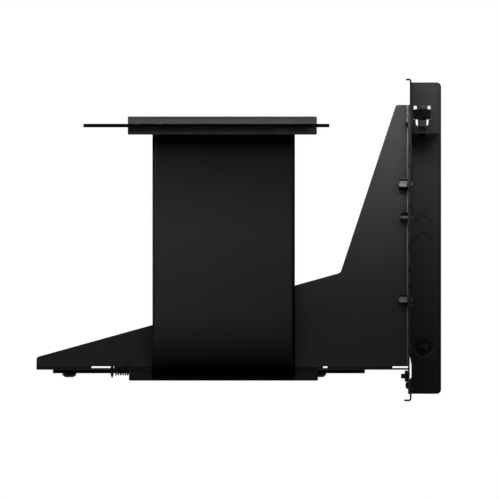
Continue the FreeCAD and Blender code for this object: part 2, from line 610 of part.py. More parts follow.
pad(riser, "spring_lug", "YZ", "-lug_front", "steel_gauge - lug_front", [[
    (GUSSET_NEAR, CUT_TOP),
    (GUSSET_NEAR, "lug_rise + steel_gauge"),
    (f"{GUSSET_NEAR} - lug_width", "lug_rise + steel_gauge"),
    (f"{GUSSET_NEAR} - lug_width", "-spring_drop - spring_radius - spring_wire"),
    (f"{GUSSET_NEAR} - steel_gauge", "-spring_drop - spring_radius - spring_wire"),
    (f"{GUSSET_NEAR} - steel_gauge", CUT_TOP),
]])
pocket(riser, "slot_opening", "XY", "-steel_gauge", "2 * steel_gauge",
       [box("-slot_front - free_gap", "free_gap - slot_back", "-slot_half - free_gap", "slot_half + free_gap")],
       [("-guide_x", "-guide_y", "guide_radius")])
pocket(riser, "board_screw_holes", "XY", "-steel_gauge", "2 * steel_gauge",
       circles=[(f"-{place}", "0", "board_screw_radius") for place in ("board_screw_front", "board_screw_back")])
pocket(riser, "flange_fixing_holes", "YZ", "-3 * steel_gauge", "0",
       circles=fixing_holes + [("-fixing_y", "-foot_bolt_drop", "stud_radius")])
finish("riser_bracket", riser)

# Fasteners of the rear flange: two studs with tall nuts, a dome-headed screw, a short press-in bolt with its
# nut, and two rivets.
GRIP = "(2 * steel_gauge)"
studs = []
nuts = []
for name, height in (("upper", "upper_nut_z"), ("lower", "lower_nut_z")):
    stud = turned(f"{name}_stud", [
        ("0", "-stud_head_rise"),
        ("stud_head", "-stud_head_rise"),
        ("stud_head", "0"),
        ("stud_radius", "0"),
        ("stud_radius", f"{GRIP} + nut_height"),
        ("0", f"{GRIP} + nut_height"),
    ])
    finish(f"{name}_stud", stud, "0", "-fixing_y", height, "-X")
    studs.append(stud)
    nut = hex_nut(f"{name}_nut", "nut_across", "nut_height", "stud_radius")
    finish(f"{name}_nut", nut, f"-{GRIP}", "-fixing_y", height, "-X")
    nuts.append(nut)
group("bracket_studs", studs)
group("bracket_nuts", nuts)

dome_screw = turned("bracket_screw", [
    ("0", "-stud_head_rise"),
    ("stud_radius", "-stud_head_rise"),
    ("stud_radius", GRIP),
    ("dome_radius", GRIP),
    ("dome_radius", f"{GRIP} + dome_height - dome_round"),
    ("dome_radius - dome_round / 3", f"{GRIP} + dome_height - dome_round / 3"),
    ("dome_radius - dome_round", f"{GRIP} + dome_height"),
    ("0", f"{GRIP} + dome_height"),
])
finish("bracket_screw", dome_screw, "0", "-fixing_y", "dome_screw_z", "-X")


def rivet(name, head, rise, height):
    """A rivet through panel and rear flange, with a head on both sides."""
    piece = turned(name, [
        ("0", "-stud_head_rise"),
        (head, "-stud_head_rise"),
        (head, "0"),
        ("rivet_shank", "0"),
        ("rivet_shank", GRIP),
        (head, GRIP),
        (head, f"{GRIP} + {rise} / 2"),
        (f"{head} / 2", f"{GRIP} + {rise}"),
        ("0", f"{GRIP} + {rise}"),
    ])
    finish(name, piece, "0", "-fixing_y", height, "-X")


rivet("locating_rivet", "locator_radius", "locator_rise", "locator_z")
rivet("foot_rivet", "foot_rivet_radius", "foot_rivet_rise", "-foot_rivet_drop")
foot_bolt = turned("foot_bolt", [
    ("0", "steel_gauge"),
    ("stud_radius", "steel_gauge"),
    ("stud_radius", f"{GRIP} + foot_bolt_tail - tip_chamfer"),
    ("stud_radius - tip_chamfer / 2", f"{GRIP} + foot_bolt_tail"),
    ("0", f"{GRIP} + foot_bolt_tail"),
])
finish("foot_bolt", foot_bolt, "0", "-fixing_y", "-foot_bolt_drop", "-X")
foot_nut = hex_nut("foot_nut", "foot_nut_across", "foot_nut_height", "stud_radius")
finish("foot_nut", foot_nut, f"-{GRIP}", "-fixing_y", "-foot_bolt_drop", "-X")

# Slot board: a circuit board held against the underside of the shelf by two screws in tapped holes.
board = new_body("slot_board")
pad(board, "board", "XY", "-board_gauge", "0",
    [box("-board_front", "-board_back", "-board_near", "board_far")])
round_edges(board, "board_corners", "board_corner",
            *({"x": across, "y": depth}
              for across in (-size("board_front"), -size("board_back"))
              for depth in (-size("board_near"), size("board_far"))))
pocket(board, "board_holes", "XY", "-2 * board_gauge", "board_gauge",
       circles=[(f"-{place}", "0", "board_screw_radius + running_gap")
                for place in ("board_screw_front", "board_screw_back")])
finish("slot_board", board)

screws = []
for name, place in (("front", "board_screw_front"), ("back", "board_screw_back")):
    screw = turned(f"{name}_board_screw", [
        ("0", "-board_gauge - board_screw_rise"),
        ("board_screw_head * 0.54", "-board_gauge - board_screw_rise"),
        ("board_screw_head * 0.79", "-board_gauge - board_screw_rise * 0.76"),
        ("board_screw_head * 0.93", "-board_gauge - board_screw_rise * 0.47"),
        ("board_screw_head", "-board_gauge - board_screw_rise * 0.16"),
        ("board_screw_head", "-board_gauge"),
        ("board_screw_radius", "-board_gauge"),
        ("board_screw_radius", "steel_gauge + board_screw_end"),
        ("0", "steel_gauge + board_screw_end"),
    ])
    finish(f"{name}_board_screw", screw, f"-{place}")
    screws.append(screw)
group("board_screws", screws)

# Card slot: a moulded body with a key, a narrow mouth and two rows of spring contacts.
slot = new_body("slot_body")
pad(slot, "slot_block", "XY", "0", "slot_height",
    [box("-slot_front", "-slot_back", "-slot_half", "slot_half")])
half_groove = [
    ("cavity_half", "slot_floor"),
    ("cavity_half", "slot_height - slot_roof"),
    ("mouth_half", "slot_height - slot_roof"),
    ("mouth_half", "slot_height + slot_roof"),
]
groove = half_groove + [(f"-{across}", up) for across, up in reversed(half_groove)]
pocket(slot, "long_groove", "YZ", "slot_wall - slot_front", "-key_x - key_half", [groove])
pocket(slot, "short_groove", "YZ", "-key_x + key_half", "-slot_back - slot_wall", [groove])
finish("slot_body", slot)


def contact_row(length, step, side):
    """A row of thin contacts that stand against one wall of the slot's cavity, from the key to the end wall."""
    first_x = step * size("contact_key_gap") - size("key_x")
    room = length - size("slot_wall") - size("contact_key_gap")
    count = math.floor(room / size("contact_pitch"))
    width = size("contact_width")
    reach = size("contact_reach")
    height = size("slot_height") - size("slot_roof") - size("slot_floor")
    near = size("cavity_half") - reach if side > 0 else -size("cavity_half")
    corner = FreeCAD.Vector(0, near, size("slot_floor"))
    row = []
    for index in range(count):
        corner.x = first_x + step * index * size("contact_pitch") - width / 2
        row.append(Part.makeBox(width, reach, height, corner))
    return row


contacts = []
for side in (-1, 1):
    contacts += contact_row(size("slot_short"), 1, side)
    contacts += contact_row(size("slot_long"), -1, side)
contact_set = doc.addObject("Part::Feature", "slot_contacts")
contact_set.Shape = Part.makeCompound(contacts)
finish("slot_contacts", contact_set)

# Card latch: a sliding plate on the shelf with a hook at the slot's end and a pull tab in front of the gusset.
latch = new_body("card_latch")
ARM_LOW = "(steel_gauge + running_gap)"
PLATE_LOW = "(steel_gauge + latch_lift)"
PLATE_HIGH = "(steel_gauge + latch_lift + latch_gauge)"
PULL_NEAR = "(-pull_depth - pull_gauge)"
pad(latch, "latch_plate", "XY", PLATE_LOW, PLATE_HIGH, [[
    ("-latch_front", "-latch_near"),
    ("-latch_back", "-latch_near"),
    ("-latch_back", "-latch_far"),
    ("-tower_back", "-latch_far"),
    ("-tower_back", "tower_half"),
    ("-tower_front", "tower_half"),
    ("-tower_front", "-latch_far"),
    ("-latch_front", "-latch_far"),
]])
pad(latch, "latch_step", "XY", ARM_LOW, PLATE_HIGH,
    [box("-arm_front", "-arm_back", "-latch_near", "arm_step - latch_near")])
pad(latch, "latch_arm", "XY", ARM_LOW, f"{ARM_LOW} + latch_gauge",
    [box("-arm_front", "-arm_back", PULL_NEAR, "arm_step - latch_near")])
pad(latch, "hook", "XZ", "-tower_half", "tower_half", [[
    ("-tower_front", PLATE_LOW),
    ("-tower_back", PLATE_LOW),
    ("-tower_back", "tower_top - nose_height"),
    ("-tower_back + nose_reach", "tower_top - nose_height"),
    ("-tower_back + nose_reach", "tower_top - nose_height * 0.7"),
    ("-tower_back", "tower_top"),
    ("-tower_front", "tower_top"),
]])
pad(latch, "pull_tab", "XZ", PULL_NEAR, "-pull_depth", [[
    ("-arm_front", f"{ARM_LOW} + latch_gauge"),
    ("-arm_front", "pull_point - pull_drop"),
    ("-arm_front + arm_width / 2", "-pull_drop"),
    ("-arm_back", "pull_point - pull_drop"),
    ("-arm_back", f"{ARM_LOW} + latch_gauge"),
]])
GUIDE_SLOT_HALF = "(guide_radius + running_gap)"
pocket(latch, "guide_slot", "XY", ARM_LOW, f"{PLATE_HIGH} + latch_gauge", [
    box(f"-guide_x - {GUIDE_SLOT_HALF}", f"latch_travel - guide_x + {GUIDE_SLOT_HALF}",
        f"-guide_y - {GUIDE_SLOT_HALF}", f"-guide_y + {GUIDE_SLOT_HALF}"),
])
finish("card_latch", latch)

guide = turned("latch_guide", [
    ("0", "0"),
    ("guide_radius", "0"),
    ("guide_radius", "steel_gauge"),
    ("guide_collar", "steel_gauge"),
    ("guide_collar", f"{PLATE_LOW} - running_gap"),
    ("guide_radius", f"{PLATE_LOW} - running_gap"),
    ("guide_radius", f"{PLATE_HIGH} + running_gap"),
    ("guide_head", f"{PLATE_HIGH} + running_gap"),
    ("guide_head", f"{PLATE_HIGH} + running_gap + guide_head_rise / 2"),
    ("guide_head / 2", f"{PLATE_HIGH} + running_gap + guide_head_rise"),
    ("0", f"{PLATE_HIGH} + running_gap + guide_head_rise"),
])
finish("latch_guide", guide, "-guide_x", "-guide_y")

# Latch spring: a close coil of wire that draws the pull tab towards the lug.
coil = Part.makeHelix(size("spring_pitch"), size("spring_length"), size("spring_radius"))
wire_end = Part.Circle(FreeCAD.Vector(size("spring_radius"), 0, 0), AXIS_Y, size("spring_wire"))
coil_sweep = Part.Wire(coil).makePipeShell([Part.Wire(wire_end.toShape())], True, True)
spring = doc.addObject("Part::Feature", "latch_spring")
spring.Shape = coil_sweep
finish("latch_spring", spring, "-arm_back + spring_wire + running_gap",
       "-pull_depth - pull_gauge / 2", "-spring_drop", "+X")

# Slot cable cover: a moulded strip under the board, hollow where the ribbon is soldered on.
COVER_LOW = "(-board_gauge - cover_height)"
cable_cover = new_body("slot_cable_cover")
pad(cable_cover, "cover_strip", "XY", COVER_LOW, "-board_gauge",
    [box("-cover_front", "-cover_back", "-board_near", "-cover_far")])
cover_low = -size("board_gauge") - size("cover_height")
round_edges(cable_cover, "cover_rounding", "cover_round",
            {"y": -size("board_near"), "z": cover_low}, {"y": -size("cover_far"), "z": cover_low},
            {"x": -size("cover_front"), "z": cover_low}, {"x": -size("cover_back"), "z": cover_low})
pocket(cable_cover, "ribbon_recess", "XZ", "-board_near - free_gap", "ribbon_joint + free_gap - board_near",
       [box("-ribbon_front - free_gap", "free_gap - ribbon_back",
            "-board_gauge - ribbon_gauge - running_gap", "free_gap - board_gauge")])
finish("slot_cable_cover", cable_cover)

# Plug: a board with an edge tongue between two moulded covers.
PLUG_SHOULDER = "(-plug_cover_near - plug_shoulder)"
PLUG_TIP = "(-plug_cover_near - plug_shoulder - tongue_depth)"
PLUG_END = "(plug_cover_depth - plug_cover_near - ribbon_grip)"
TONGUE_FRONT = "(-key_x - tongue_long)"
HOOK_BACK = "(-key_x - tongue_long - hook_gap)"
plug_board = new_body("plug_board")
pad(plug_board, "plug_plate", "XY", "plug_height", "plug_height + board_gauge", [[
    ("-plug_back", PLUG_END),
    ("-plug_front", PLUG_END),
    ("-plug_front", PLUG_SHOULDER),
    (f"{HOOK_BACK} - hook_width", PLUG_SHOULDER),
    (f"{HOOK_BACK} - hook_width", f"{PLUG_SHOULDER} - hook_depth"),
    (HOOK_BACK, f"{PLUG_SHOULDER} - hook_depth"),
    (HOOK_BACK, f"{PLUG_SHOULDER} - hook_depth + hook_notch"),
    (f"{HOOK_BACK} - hook_notch", f"{PLUG_SHOULDER} - hook_depth + hook_notch"),
    (f"{HOOK_BACK} - hook_notch", PLUG_SHOULDER),
    (TONGUE_FRONT, PLUG_SHOULDER),
    (TONGUE_FRONT, PLUG_TIP),
    ("-key_x - notch_half", PLUG_TIP),
    ("-key_x - notch_half", f"{PLUG_SHOULDER} - notch_left"),
    ("-key_x + notch_half", f"{PLUG_SHOULDER} - notch_left"),
    ("-key_x + notch_half", PLUG_TIP),
    ("-key_x + tongue_short", PLUG_TIP),
    ("-key_x + tongue_short", PLUG_SHOULDER),
    ("-plug_back", PLUG_SHOULDER),
]])
plug_tip = -size("plug_cover_near") - size("plug_shoulder") - size("tongue_depth")
plug_faces = (size("plug_height"), size("plug_height") + size("board_gauge"))
tip_edges = edges_at(plug_board, *({"y": plug_tip, "z": face} for face in plug_faces))
tongue_bevel = plug_board.newObject("PartDesign::Chamfer", "tongue_bevel")
tongue_bevel.Base = tip_edges
bind(tongue_bevel, Size="tongue_chamfer")
finish("plug_board", plug_board)


def plug_cover(name, low, high, outer_face):
    """A moulded strip on one side of the plug board, rounded along its outer edges."""
    cover = new_body(name)
    near = -size("plug_cover_near")
    far = near + size("plug_cover_depth")
    pad(cover, name + "_strip", "XY", low, high,
        [box("-plug_cover_front", "-plug_cover_back", "-plug_cover_near", "plug_cover_depth - plug_cover_near")])
    round_edges(cover, name + "_rounding", "cover_round",
                {"y": near, "z": outer_face}, {"y": far, "z": outer_face},
                {"x": -size("plug_cover_front"), "z": outer_face},
                {"x": -size("plug_cover_back"), "z": outer_face})
    finish(name, cover)


plug_cover("plug_cover_upper", "plug_height + board_gauge", "plug_height + board_gauge + cover_height",
           plug_faces[1] + size("cover_height"))
plug_cover("plug_cover_lower", "plug_height - cover_height", "plug_height",
           plug_faces[0] - size("cover_height"))

# Ribbon cable: a flat band that leaves the plug, turns down, runs forward past the gusset and turns under the
# slot board. Its two bends are joined by a straight run that touches both.
upper_bend = size("ribbon_upper")
lower_bend = size("ribbon_lower")
plug_middle = size("plug_height") + size("board_gauge") / 2
joint_middle = -size("board_gauge") - size("ribbon_gauge") / 2
bend_start = size("plug_cover_depth") - size("plug_cover_near") + size("ribbon_lead")
bend_end = -size("board_near") - size("ribbon_lead")
drop = plug_middle - joint_middle - upper_bend - lower_bend
advance = bend_end - bend_start
run_length = math.sqrt(drop ** 2 + advance ** 2 - (upper_bend + lower_bend) ** 2)
lean = math.atan2(drop, advance) - math.atan2(run_length, upper_bend + lower_bend)


def in_depth(depth, height):
    """A point of the ribbon's side view."""
    return FreeCAD.Vector(depth, height, 0)


def on_bend(centre, radius, angle):
    """A point of a bend, at an angle from the +Y direction."""
    return centre + in_depth(radius * math.cos(angle), radius * math.sin(angle))


upper_centre = in_depth(bend_start, plug_middle - upper_bend)
lower_centre = in_depth(bend_end, joint_middle + lower_bend)
route = [
    in_depth(bend_start - size("ribbon_lead") - size("ribbon_grip"), plug_middle),
    in_depth(bend_start, plug_middle),
    on_bend(upper_centre, upper_bend, -lean),
    on_bend(lower_centre, lower_bend, math.pi - lean),
    in_depth(bend_end, joint_middle),
    in_depth(bend_end + size("ribbon_lead") + size("ribbon_joint"), joint_middle),
]
upper_middle = on_bend(upper_centre, upper_bend, (math.pi / 2 - lean) / 2)
lower_middle = on_bend(lower_centre, lower_bend, math.pi - lean + (math.pi / 2 + lean) / 2)
ribbon = new_body("ribbon_cable")
path = draw(ribbon, "ribbon_path", "YZ", "0")
lines = [
    Part.LineSegment(route[0], route[1]),
    Part.Arc(route[1], upper_middle, route[2]),
    Part.LineSegment(route[2], route[3]),
    Part.Arc(route[3], lower_middle, route[4]),
    Part.LineSegment(route[4], route[5]),
]
for line in lines:
    path.addGeometry(line, False)
section = draw(ribbon, "ribbon_section", "XZ", "plug_cover_near - plug_cover_depth + ribbon_grip", [
    box("-ribbon_front", "-ribbon_back",
        "plug_height + board_gauge / 2 - ribbon_gauge / 2", "plug_height + board_gauge / 2 + ribbon_gauge / 2"),
])
doc.recompute()
sweep = ribbon.newObject("PartDesign::AdditivePipe", "ribbon_sweep")
sweep.Profile = section
sweep.Spine = (path, [f"Edge{index}" for index in range(1, len(lines) + 1)])
finish("ribbon_cable", ribbon)
doc.recompute()
round_names = [f"Edge{index}" for index, edge in enumerate(sweep.Shape.Edges, start=1)
               if abs(edge.BoundBox.XLength) < 0.001 and edge.BoundBox.DiagonalLength > 2 * size("ribbon_gauge")]
ribbon_edges = ribbon.newObject("PartDesign::Fillet", "ribbon_edges")
ribbon_edges.Base = (sweep, round_names)
bind(ribbon_edges, Radius="ribbon_gauge * 0.4")

# Card thumbscrews: turned screws that hold the card's tab on the ledge, captive by their necks.
for slot_number, depth in enumerate(tab_screws, start=1):
    HEAD_LOW = "tab_head_lift"
    HEAD_HIGH = "(tab_head_lift + tab_head_height)"
    THREAD_TOP = "(-steel_gauge - running_gap)"
    screw = turned(f"card_thumbscrew_{slot_number}", [
        ("0", "-tab_tip_drop"),
        ("tab_thread - tab_tip", "-tab_tip_drop"),
        ("tab_thread", "tab_tip - tab_tip_drop"),
        ("tab_thread", THREAD_TOP),
        ("neck_radius", THREAD_TOP),
        ("neck_radius", f"{HEAD_LOW} - tab_shoulder_height"),
        ("tab_shoulder", f"{HEAD_LOW} - tab_shoulder_height"),
        ("tab_shoulder", HEAD_LOW),
        ("tab_head_radius - head_chamfer", HEAD_LOW),
        ("tab_head_radius", f"{HEAD_LOW} + head_chamfer"),
        ("tab_head_radius", f"{HEAD_HIGH} - head_chamfer"),
        ("tab_head_radius - head_chamfer", HEAD_HIGH),
        ("tab_crown_radius", HEAD_HIGH),
        ("tab_crown_radius", f"{HEAD_HIGH} + tab_crown_height"),
        ("0", f"{HEAD_HIGH} + tab_crown_height"),
    ])
    finish(f"card_thumbscrew_{slot_number}", screw, "tab_screw_x", depth, "tab_seat")

# Case thumbscrew: a captive screw in a ferrule on the flange, kept in by a clip in the flange's hole.
HEAD_SEAT = "(steel_gauge + ferrule_height + running_gap)"
case_screw = turned("case_thumbscrew", [
    ("0", "-case_thread"),
    ("thread_radius - tip_chamfer", "-case_thread"),
    ("thread_radius", "tip_chamfer - case_thread"),
    ("thread_radius", "0"),
    ("clip_seat", "0"),
    ("clip_seat", "steel_gauge - running_gap"),
    ("case_neck", "steel_gauge - running_gap"),
    ("case_neck", HEAD_SEAT),
    ("case_head_radius - head_chamfer", HEAD_SEAT),
    ("case_head_radius", f"{HEAD_SEAT} + head_chamfer"),
    ("case_head_radius", f"{HEAD_SEAT} + case_head_height - head_chamfer"),
    ("case_head_radius - head_chamfer", f"{HEAD_SEAT} + case_head_height"),
    ("0", f"{HEAD_SEAT} + case_head_height"),
])
finish("case_thumbscrew", case_screw, "case_screw_x", "case_seat", "case_screw_z", "+Y")
CLIP_TOP = "(steel_gauge - running_gap)"
clip = turned("case_screw_clip", [
    ("clip_seat", f"{CLIP_TOP} - clip_height"),
    ("clip_radius", f"{CLIP_TOP} - clip_height"),
    ("clip_radius", CLIP_TOP),
    ("clip_seat", CLIP_TOP),
])
finish("case_screw_clip", clip, "case_screw_x", "case_seat", "case_screw_z", "+Y")
ferrule = turned("case_screw_ferrule", [
    ("case_neck + running_gap", "steel_gauge"),
    ("ferrule_base", "steel_gauge"),
    ("ferrule_base", "steel_gauge + ferrule_base_height"),
    ("ferrule_radius", "steel_gauge + ferrule_base_height"),
    ("ferrule_radius", "steel_gauge + ferrule_height"),
    ("case_neck + running_gap", "steel_gauge + ferrule_height"),
])
finish("case_screw_ferrule", ferrule, "case_screw_x", "case_seat", "case_screw_z", "+Y")

doc.recompute()
for item in doc.Objects:
    if "Invalid" in item.State or "Error" in item.State:
        raise RuntimeError(f"{item.Name} failed: {item.State}")
    if item.TypeId == "PartDesign::Pocket" and item.Shape.Volume >= item.BaseFeature.Shape.Volume:
        raise RuntimeError(f"{item.Name} cuts nothing")
for piece in pieces:
    if piece.Shape.isNull() or not piece.Shape.isValid() or not piece.Shape.Solids:
        raise RuntimeError(f"{piece.Label} has no valid solid")

ribbon_length = sum(line.length() for line in lines)
print(f"ribbon: length {ribbon_length:.1f} mm, bends {upper_bend:.1f} and {lower_bend:.1f} mm")

os.makedirs("parts", exist_ok=True)
for piece in pieces:
    piece.Shape.exportStep(f"parts/{piece.Label}.step")
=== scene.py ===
import math

import bmesh
import bpy
from mathutils import Matrix, Vector


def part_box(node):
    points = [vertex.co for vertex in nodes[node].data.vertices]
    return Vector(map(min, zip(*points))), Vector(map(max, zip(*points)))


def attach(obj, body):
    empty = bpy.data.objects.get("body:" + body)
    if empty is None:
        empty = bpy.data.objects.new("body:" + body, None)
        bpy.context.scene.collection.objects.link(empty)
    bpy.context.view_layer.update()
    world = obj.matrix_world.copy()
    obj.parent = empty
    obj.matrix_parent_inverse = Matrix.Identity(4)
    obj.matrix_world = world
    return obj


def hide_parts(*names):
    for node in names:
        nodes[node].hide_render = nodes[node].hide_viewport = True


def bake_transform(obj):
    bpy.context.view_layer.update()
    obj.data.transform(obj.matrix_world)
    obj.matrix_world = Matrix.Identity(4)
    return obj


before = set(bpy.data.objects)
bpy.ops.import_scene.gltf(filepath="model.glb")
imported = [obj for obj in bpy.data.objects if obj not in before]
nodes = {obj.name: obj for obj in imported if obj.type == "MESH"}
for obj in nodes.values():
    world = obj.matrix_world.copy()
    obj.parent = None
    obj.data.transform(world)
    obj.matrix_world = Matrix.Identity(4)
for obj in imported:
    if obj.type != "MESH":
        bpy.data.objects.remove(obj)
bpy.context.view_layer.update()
scene = bpy.context.scene
scene.view_settings.view_transform = "Standard"


# Rear frame: one steel sheet, cut flat, folded on a press to a panel with lips, a side flange and a ledge,
# and then powder coated black, which bakes to a dull skin with a fine pebble grain. Its tone is the riser
# bracket's coat made darker, as painted shade. Its cut edges have a tone of their own, nearly black above
# the gusset. Shade is painted on the contact dimples, along the pressed arrows, along the flange's edges, on
# the ledge's edge and as a dark ring round the case screw, with a painted highlight below the ring.
MM = 0.001
CLOUD_LOW = 0.3
CLOUD_HIGH = 0.7


def coat_grain():
    """Shared surface effect: a slow, cloudy change of tone, and a fine grain to be used as a height."""
    group = bpy.data.node_groups.new("coat_grain", "ShaderNodeTree")
    for name in ("Cloud Scale", "Grain Scale"):
        group.interface.new_socket(name=name, in_out="INPUT", socket_type="NodeSocketFloat")
    for name in ("Cloud", "Grain"):
        group.interface.new_socket(name=name, in_out="OUTPUT", socket_type="NodeSocketFloat")
    start = group.nodes.new("NodeGroupInput")
    end = group.nodes.new("NodeGroupOutput")
    place = group.nodes.new("ShaderNodeTexCoord")
    for scale, result, detail in (("Cloud Scale", "Cloud", 3.0), ("Grain Scale", "Grain", 2.0)):
        texture = group.nodes.new("ShaderNodeTexNoise")
        texture.inputs["Detail"].default_value = detail
        group.links.new(place.outputs["Object"], texture.inputs["Vector"])
        group.links.new(start.outputs[scale], texture.inputs["Scale"])
        group.links.new(texture.outputs["Fac"], end.inputs[result])
    return group


GRAIN_GROUP = coat_grain()


def ramp(value, start, end, least=0.0, most=1.0):
    """A value that goes from least to most while another goes from start to end."""
    tree = value.id_data
    node = tree.nodes.new("ShaderNodeMapRange")
    for name, number in (("From Min", start), ("From Max", end), ("To Min", least), ("To Max", most)):
        node.inputs[name].default_value = number
    tree.links.new(value, node.inputs["Value"])
    return node.outputs["Result"]


def grained_finish(name, dark, light, roughness, specular, cloud_size, grain_size, relief, metallic=0.0):
    """A finish whose tone and gloss drift between two values, with a grain; its sizes are in millimetres."""
    material = bpy.data.materials.new(name)
    material.use_nodes = True
    tree = material.node_tree
    shader = tree.nodes["Principled BSDF"]
    shader.inputs["Specular IOR Level"].default_value = specular
    shader.inputs["Metallic"].default_value = metallic
    surface = tree.nodes.new("ShaderNodeGroup")
    surface.node_tree = GRAIN_GROUP
    surface.inputs["Cloud Scale"].default_value = 1 / (cloud_size * MM)
    surface.inputs["Grain Scale"].default_value = 1 / (grain_size * MM)
    tone = tree.nodes.new("ShaderNodeValToRGB")
    for element, position, colour in zip(tone.color_ramp.elements, (CLOUD_LOW, CLOUD_HIGH), (dark, light)):
        element.position = position
        element.color = (*colour, 1)
    gloss = ramp(surface.outputs["Cloud"], CLOUD_LOW, CLOUD_HIGH, *roughness)
    bump = tree.nodes.new("ShaderNodeBump")
    bump.inputs["Distance"].default_value = relief * MM
    tree.links.new(surface.outputs["Cloud"], tone.inputs["Fac"])
    tree.links.new(tone.outputs["Color"], shader.inputs["Base Color"])
    tree.links.new(gloss, shader.inputs["Roughness"])
    tree.links.new(surface.outputs["Grain"], bump.inputs["Height"])
    tree.links.new(bump.outputs["Normal"], shader.inputs["Normal"])
    return material


def powder_coat(name, dark, light):
    """The coat of the two folded sheets."""
    return grained_finish(name, dark, light, (0.42, 0.56), 0.03,
                          cloud_size=14, grain_size=0.35, relief=0.012)


def object_axes(material):
    """The X, Y and Z of a point of the piece, for masks that follow its shape."""
    tree = material.node_tree
    place = tree.nodes.new("ShaderNodeTexCoord")
    axes = tree.nodes.new("ShaderNodeSeparateXYZ")
    tree.links.new(place.outputs["Object"], axes.inputs["Vector"])
    return axes.outputs


def maths(operation, *values):
    """A Math node on one or two values, each a number or another node's output."""
    tree = next(value for value in values if not isinstance(value, float)).id_data
    node = tree.nodes.new("ShaderNodeMath")
    node.operation = operation
    for socket, value in zip(node.inputs, values):
        if isinstance(value, float):
            socket.default_value = value
        else:
            tree.links.new(value, socket)
    return node.outputs["Value"]


def above(value, limit):
    """A mask of the places where a value is over a limit."""
    return maths("GREATER_THAN", value, limit)


def below(value, limit):
    """A mask of the places where a value is under a limit."""
    return maths("LESS_THAN", value, limit)


def distance(value, middle):
    """How far a value is from another, on either side."""
    return maths("ABSOLUTE", maths("SUBTRACT", value, middle))


def near(value, middle, reach):
    """A mask of the places where a value is within reach of another."""
    return below(distance(value, middle), reach)


def beyond(value, middle, reach):
    """A mask of the places where a value is out of reach of another."""
    return above(distance(value, middle), reach)


def both(first, second):
    """A mask where two masks meet."""
    return maths("MULTIPLY", first, second)


def either(first, second):
    """A mask where at least one of two masks is."""
    return maths("MAXIMUM", first, second)


def retone(material, mask, colour):
    """Lay another colour over a finish where a mask says so."""
    tree = material.node_tree
    base = tree.nodes["Principled BSDF"].inputs["Base Color"]
    cover = tree.nodes.new("ShaderNodeMixRGB")
    cover.inputs["Color2"].default_value = (*colour, 1)
    tree.links.new(mask, cover.inputs["Fac"])
    tree.links.new(base.links[0].from_socket, cover.inputs["Color1"])
    tree.links.new(cover.outputs["Color"], base)


def dress(material, *names):
    """Give whole CAD nodes a finish."""
    for name in names:
        nodes[name].data.materials.clear()
        nodes[name].data.materials.append(material)


PANEL_X = -5.8 * MM
DIMPLE_START = 0.42 * MM
DIMPLE_END = -93.35 * MM
CUT_EDGE = -94.9 * MM
FREE_EDGE = 106.5 * MM
# Painted shade: the rear frame's coat is the riser bracket's coat in a much darker tone.
shaded_frame_coat = powder_coat("black_frame_coat_shaded", (0.0106, 0.0106, 0.0108), (0.0129, 0.0129, 0.0131))
x, y, z = object_axes(shaded_frame_coat)
# Painted shade: the contact dimples along the panel's near edge are coloured near black.
shaded_dimples = both(beyond(x, PANEL_X, DIMPLE_START), below(y, DIMPLE_END))
retone(shaded_frame_coat, shaded_dimples, (0.002, 0.002, 0.002))
retone(shaded_frame_coat, below(y, CUT_EDGE), (0.012, 0.012, 0.012))
retone(shaded_frame_coat, both(below(y, CUT_EDGE), above(z, FREE_EDGE)), (0.001, 0.001, 0.001))

FLANGE_FACE = -1.0 * MM
FLANGE_MIDDLE = 49.0 * MM
FLANGE_HALF = 70.05 * MM
EDGE_WIDTH = 1.1 * MM
LEDGE_Z = 96.45 * MM
LEDGE_HALF = 0.45 * MM
on_flange = above(y, FLANGE_FACE)
# Painted shade: a dark band along the flange's side and end edges.
shaded_side_edge = above(x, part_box("rear_frame")[1].x - EDGE_WIDTH)
shaded_end_edges = beyond(z, FLANGE_MIDDLE, FLANGE_HALF - EDGE_WIDTH / 2)
retone(shaded_frame_coat, both(on_flange, either(shaded_side_edge, shaded_end_edges)), (0.005, 0.005, 0.005))
# Painted shade: the ledge's near edge, and the flange at its height, are coloured dark.
retone(shaded_frame_coat, both(near(z, LEDGE_Z, LEDGE_HALF), above(x, PANEL_X)), (0.007, 0.007, 0.007))

RING_RADIUS = 4.05 * MM
RIM_RADIUS = 4.6 * MM
RIM_TOP = -1.3 * MM
from_screw_squared = maths("ADD", maths("MULTIPLY", x, x), maths("MULTIPLY", z, z))
# Painted highlight: a light crescent on the flange just below the dark ring.
lit_lower_rim = both(below(from_screw_squared, RIM_RADIUS ** 2), below(z, RIM_TOP))
retone(shaded_frame_coat, lit_lower_rim, (0.04, 0.04, 0.0404))
# Painted shade: a near-black ring on the flange round the case screw.
retone(shaded_frame_coat, below(from_screw_squared, RING_RADIUS ** 2), (0.0004, 0.0004, 0.0004))

ARROW_POINTS = (59.3 * MM, 51.9 * MM)
ARROW_SLOPE = 0.85
ARROW_HALF = 4.0 * MM
ARROW_LINE = 0.36 * MM
# Painted shadow: a dark line along the upper edge of each pressed arrow.
arrow_fall = maths("ADD", z, maths("MULTIPLY", maths("ABSOLUTE", x), ARROW_SLOPE))
for point in ARROW_POINTS:
    arrow = both(near(arrow_fall, point, ARROW_LINE), near(x, 0.0, ARROW_HALF))
    retone(shaded_frame_coat, both(arrow, on_flange), (0.0008, 0.0008, 0.0008))
dress(shaded_frame_coat, "rear_frame")

# Riser bracket: a second folded sheet of the same steel and coat, with a tall gusset, a shelf for the card
# slot and a rear flange that lies against the panel.
# The light line on the flange's bend and the dark one on the shelf's bend follow the photograph.
BEND_X = -7.23 * MM
BEND_Y = -81.2 * MM
BEND_HALF_WIDTH = 0.22 * MM
BEND_HALF_DEPTH = 0.5 * MM
SHELF_BEND_Z = -9.75 * MM
SHELF_BEND_HALF = 0.6 * MM
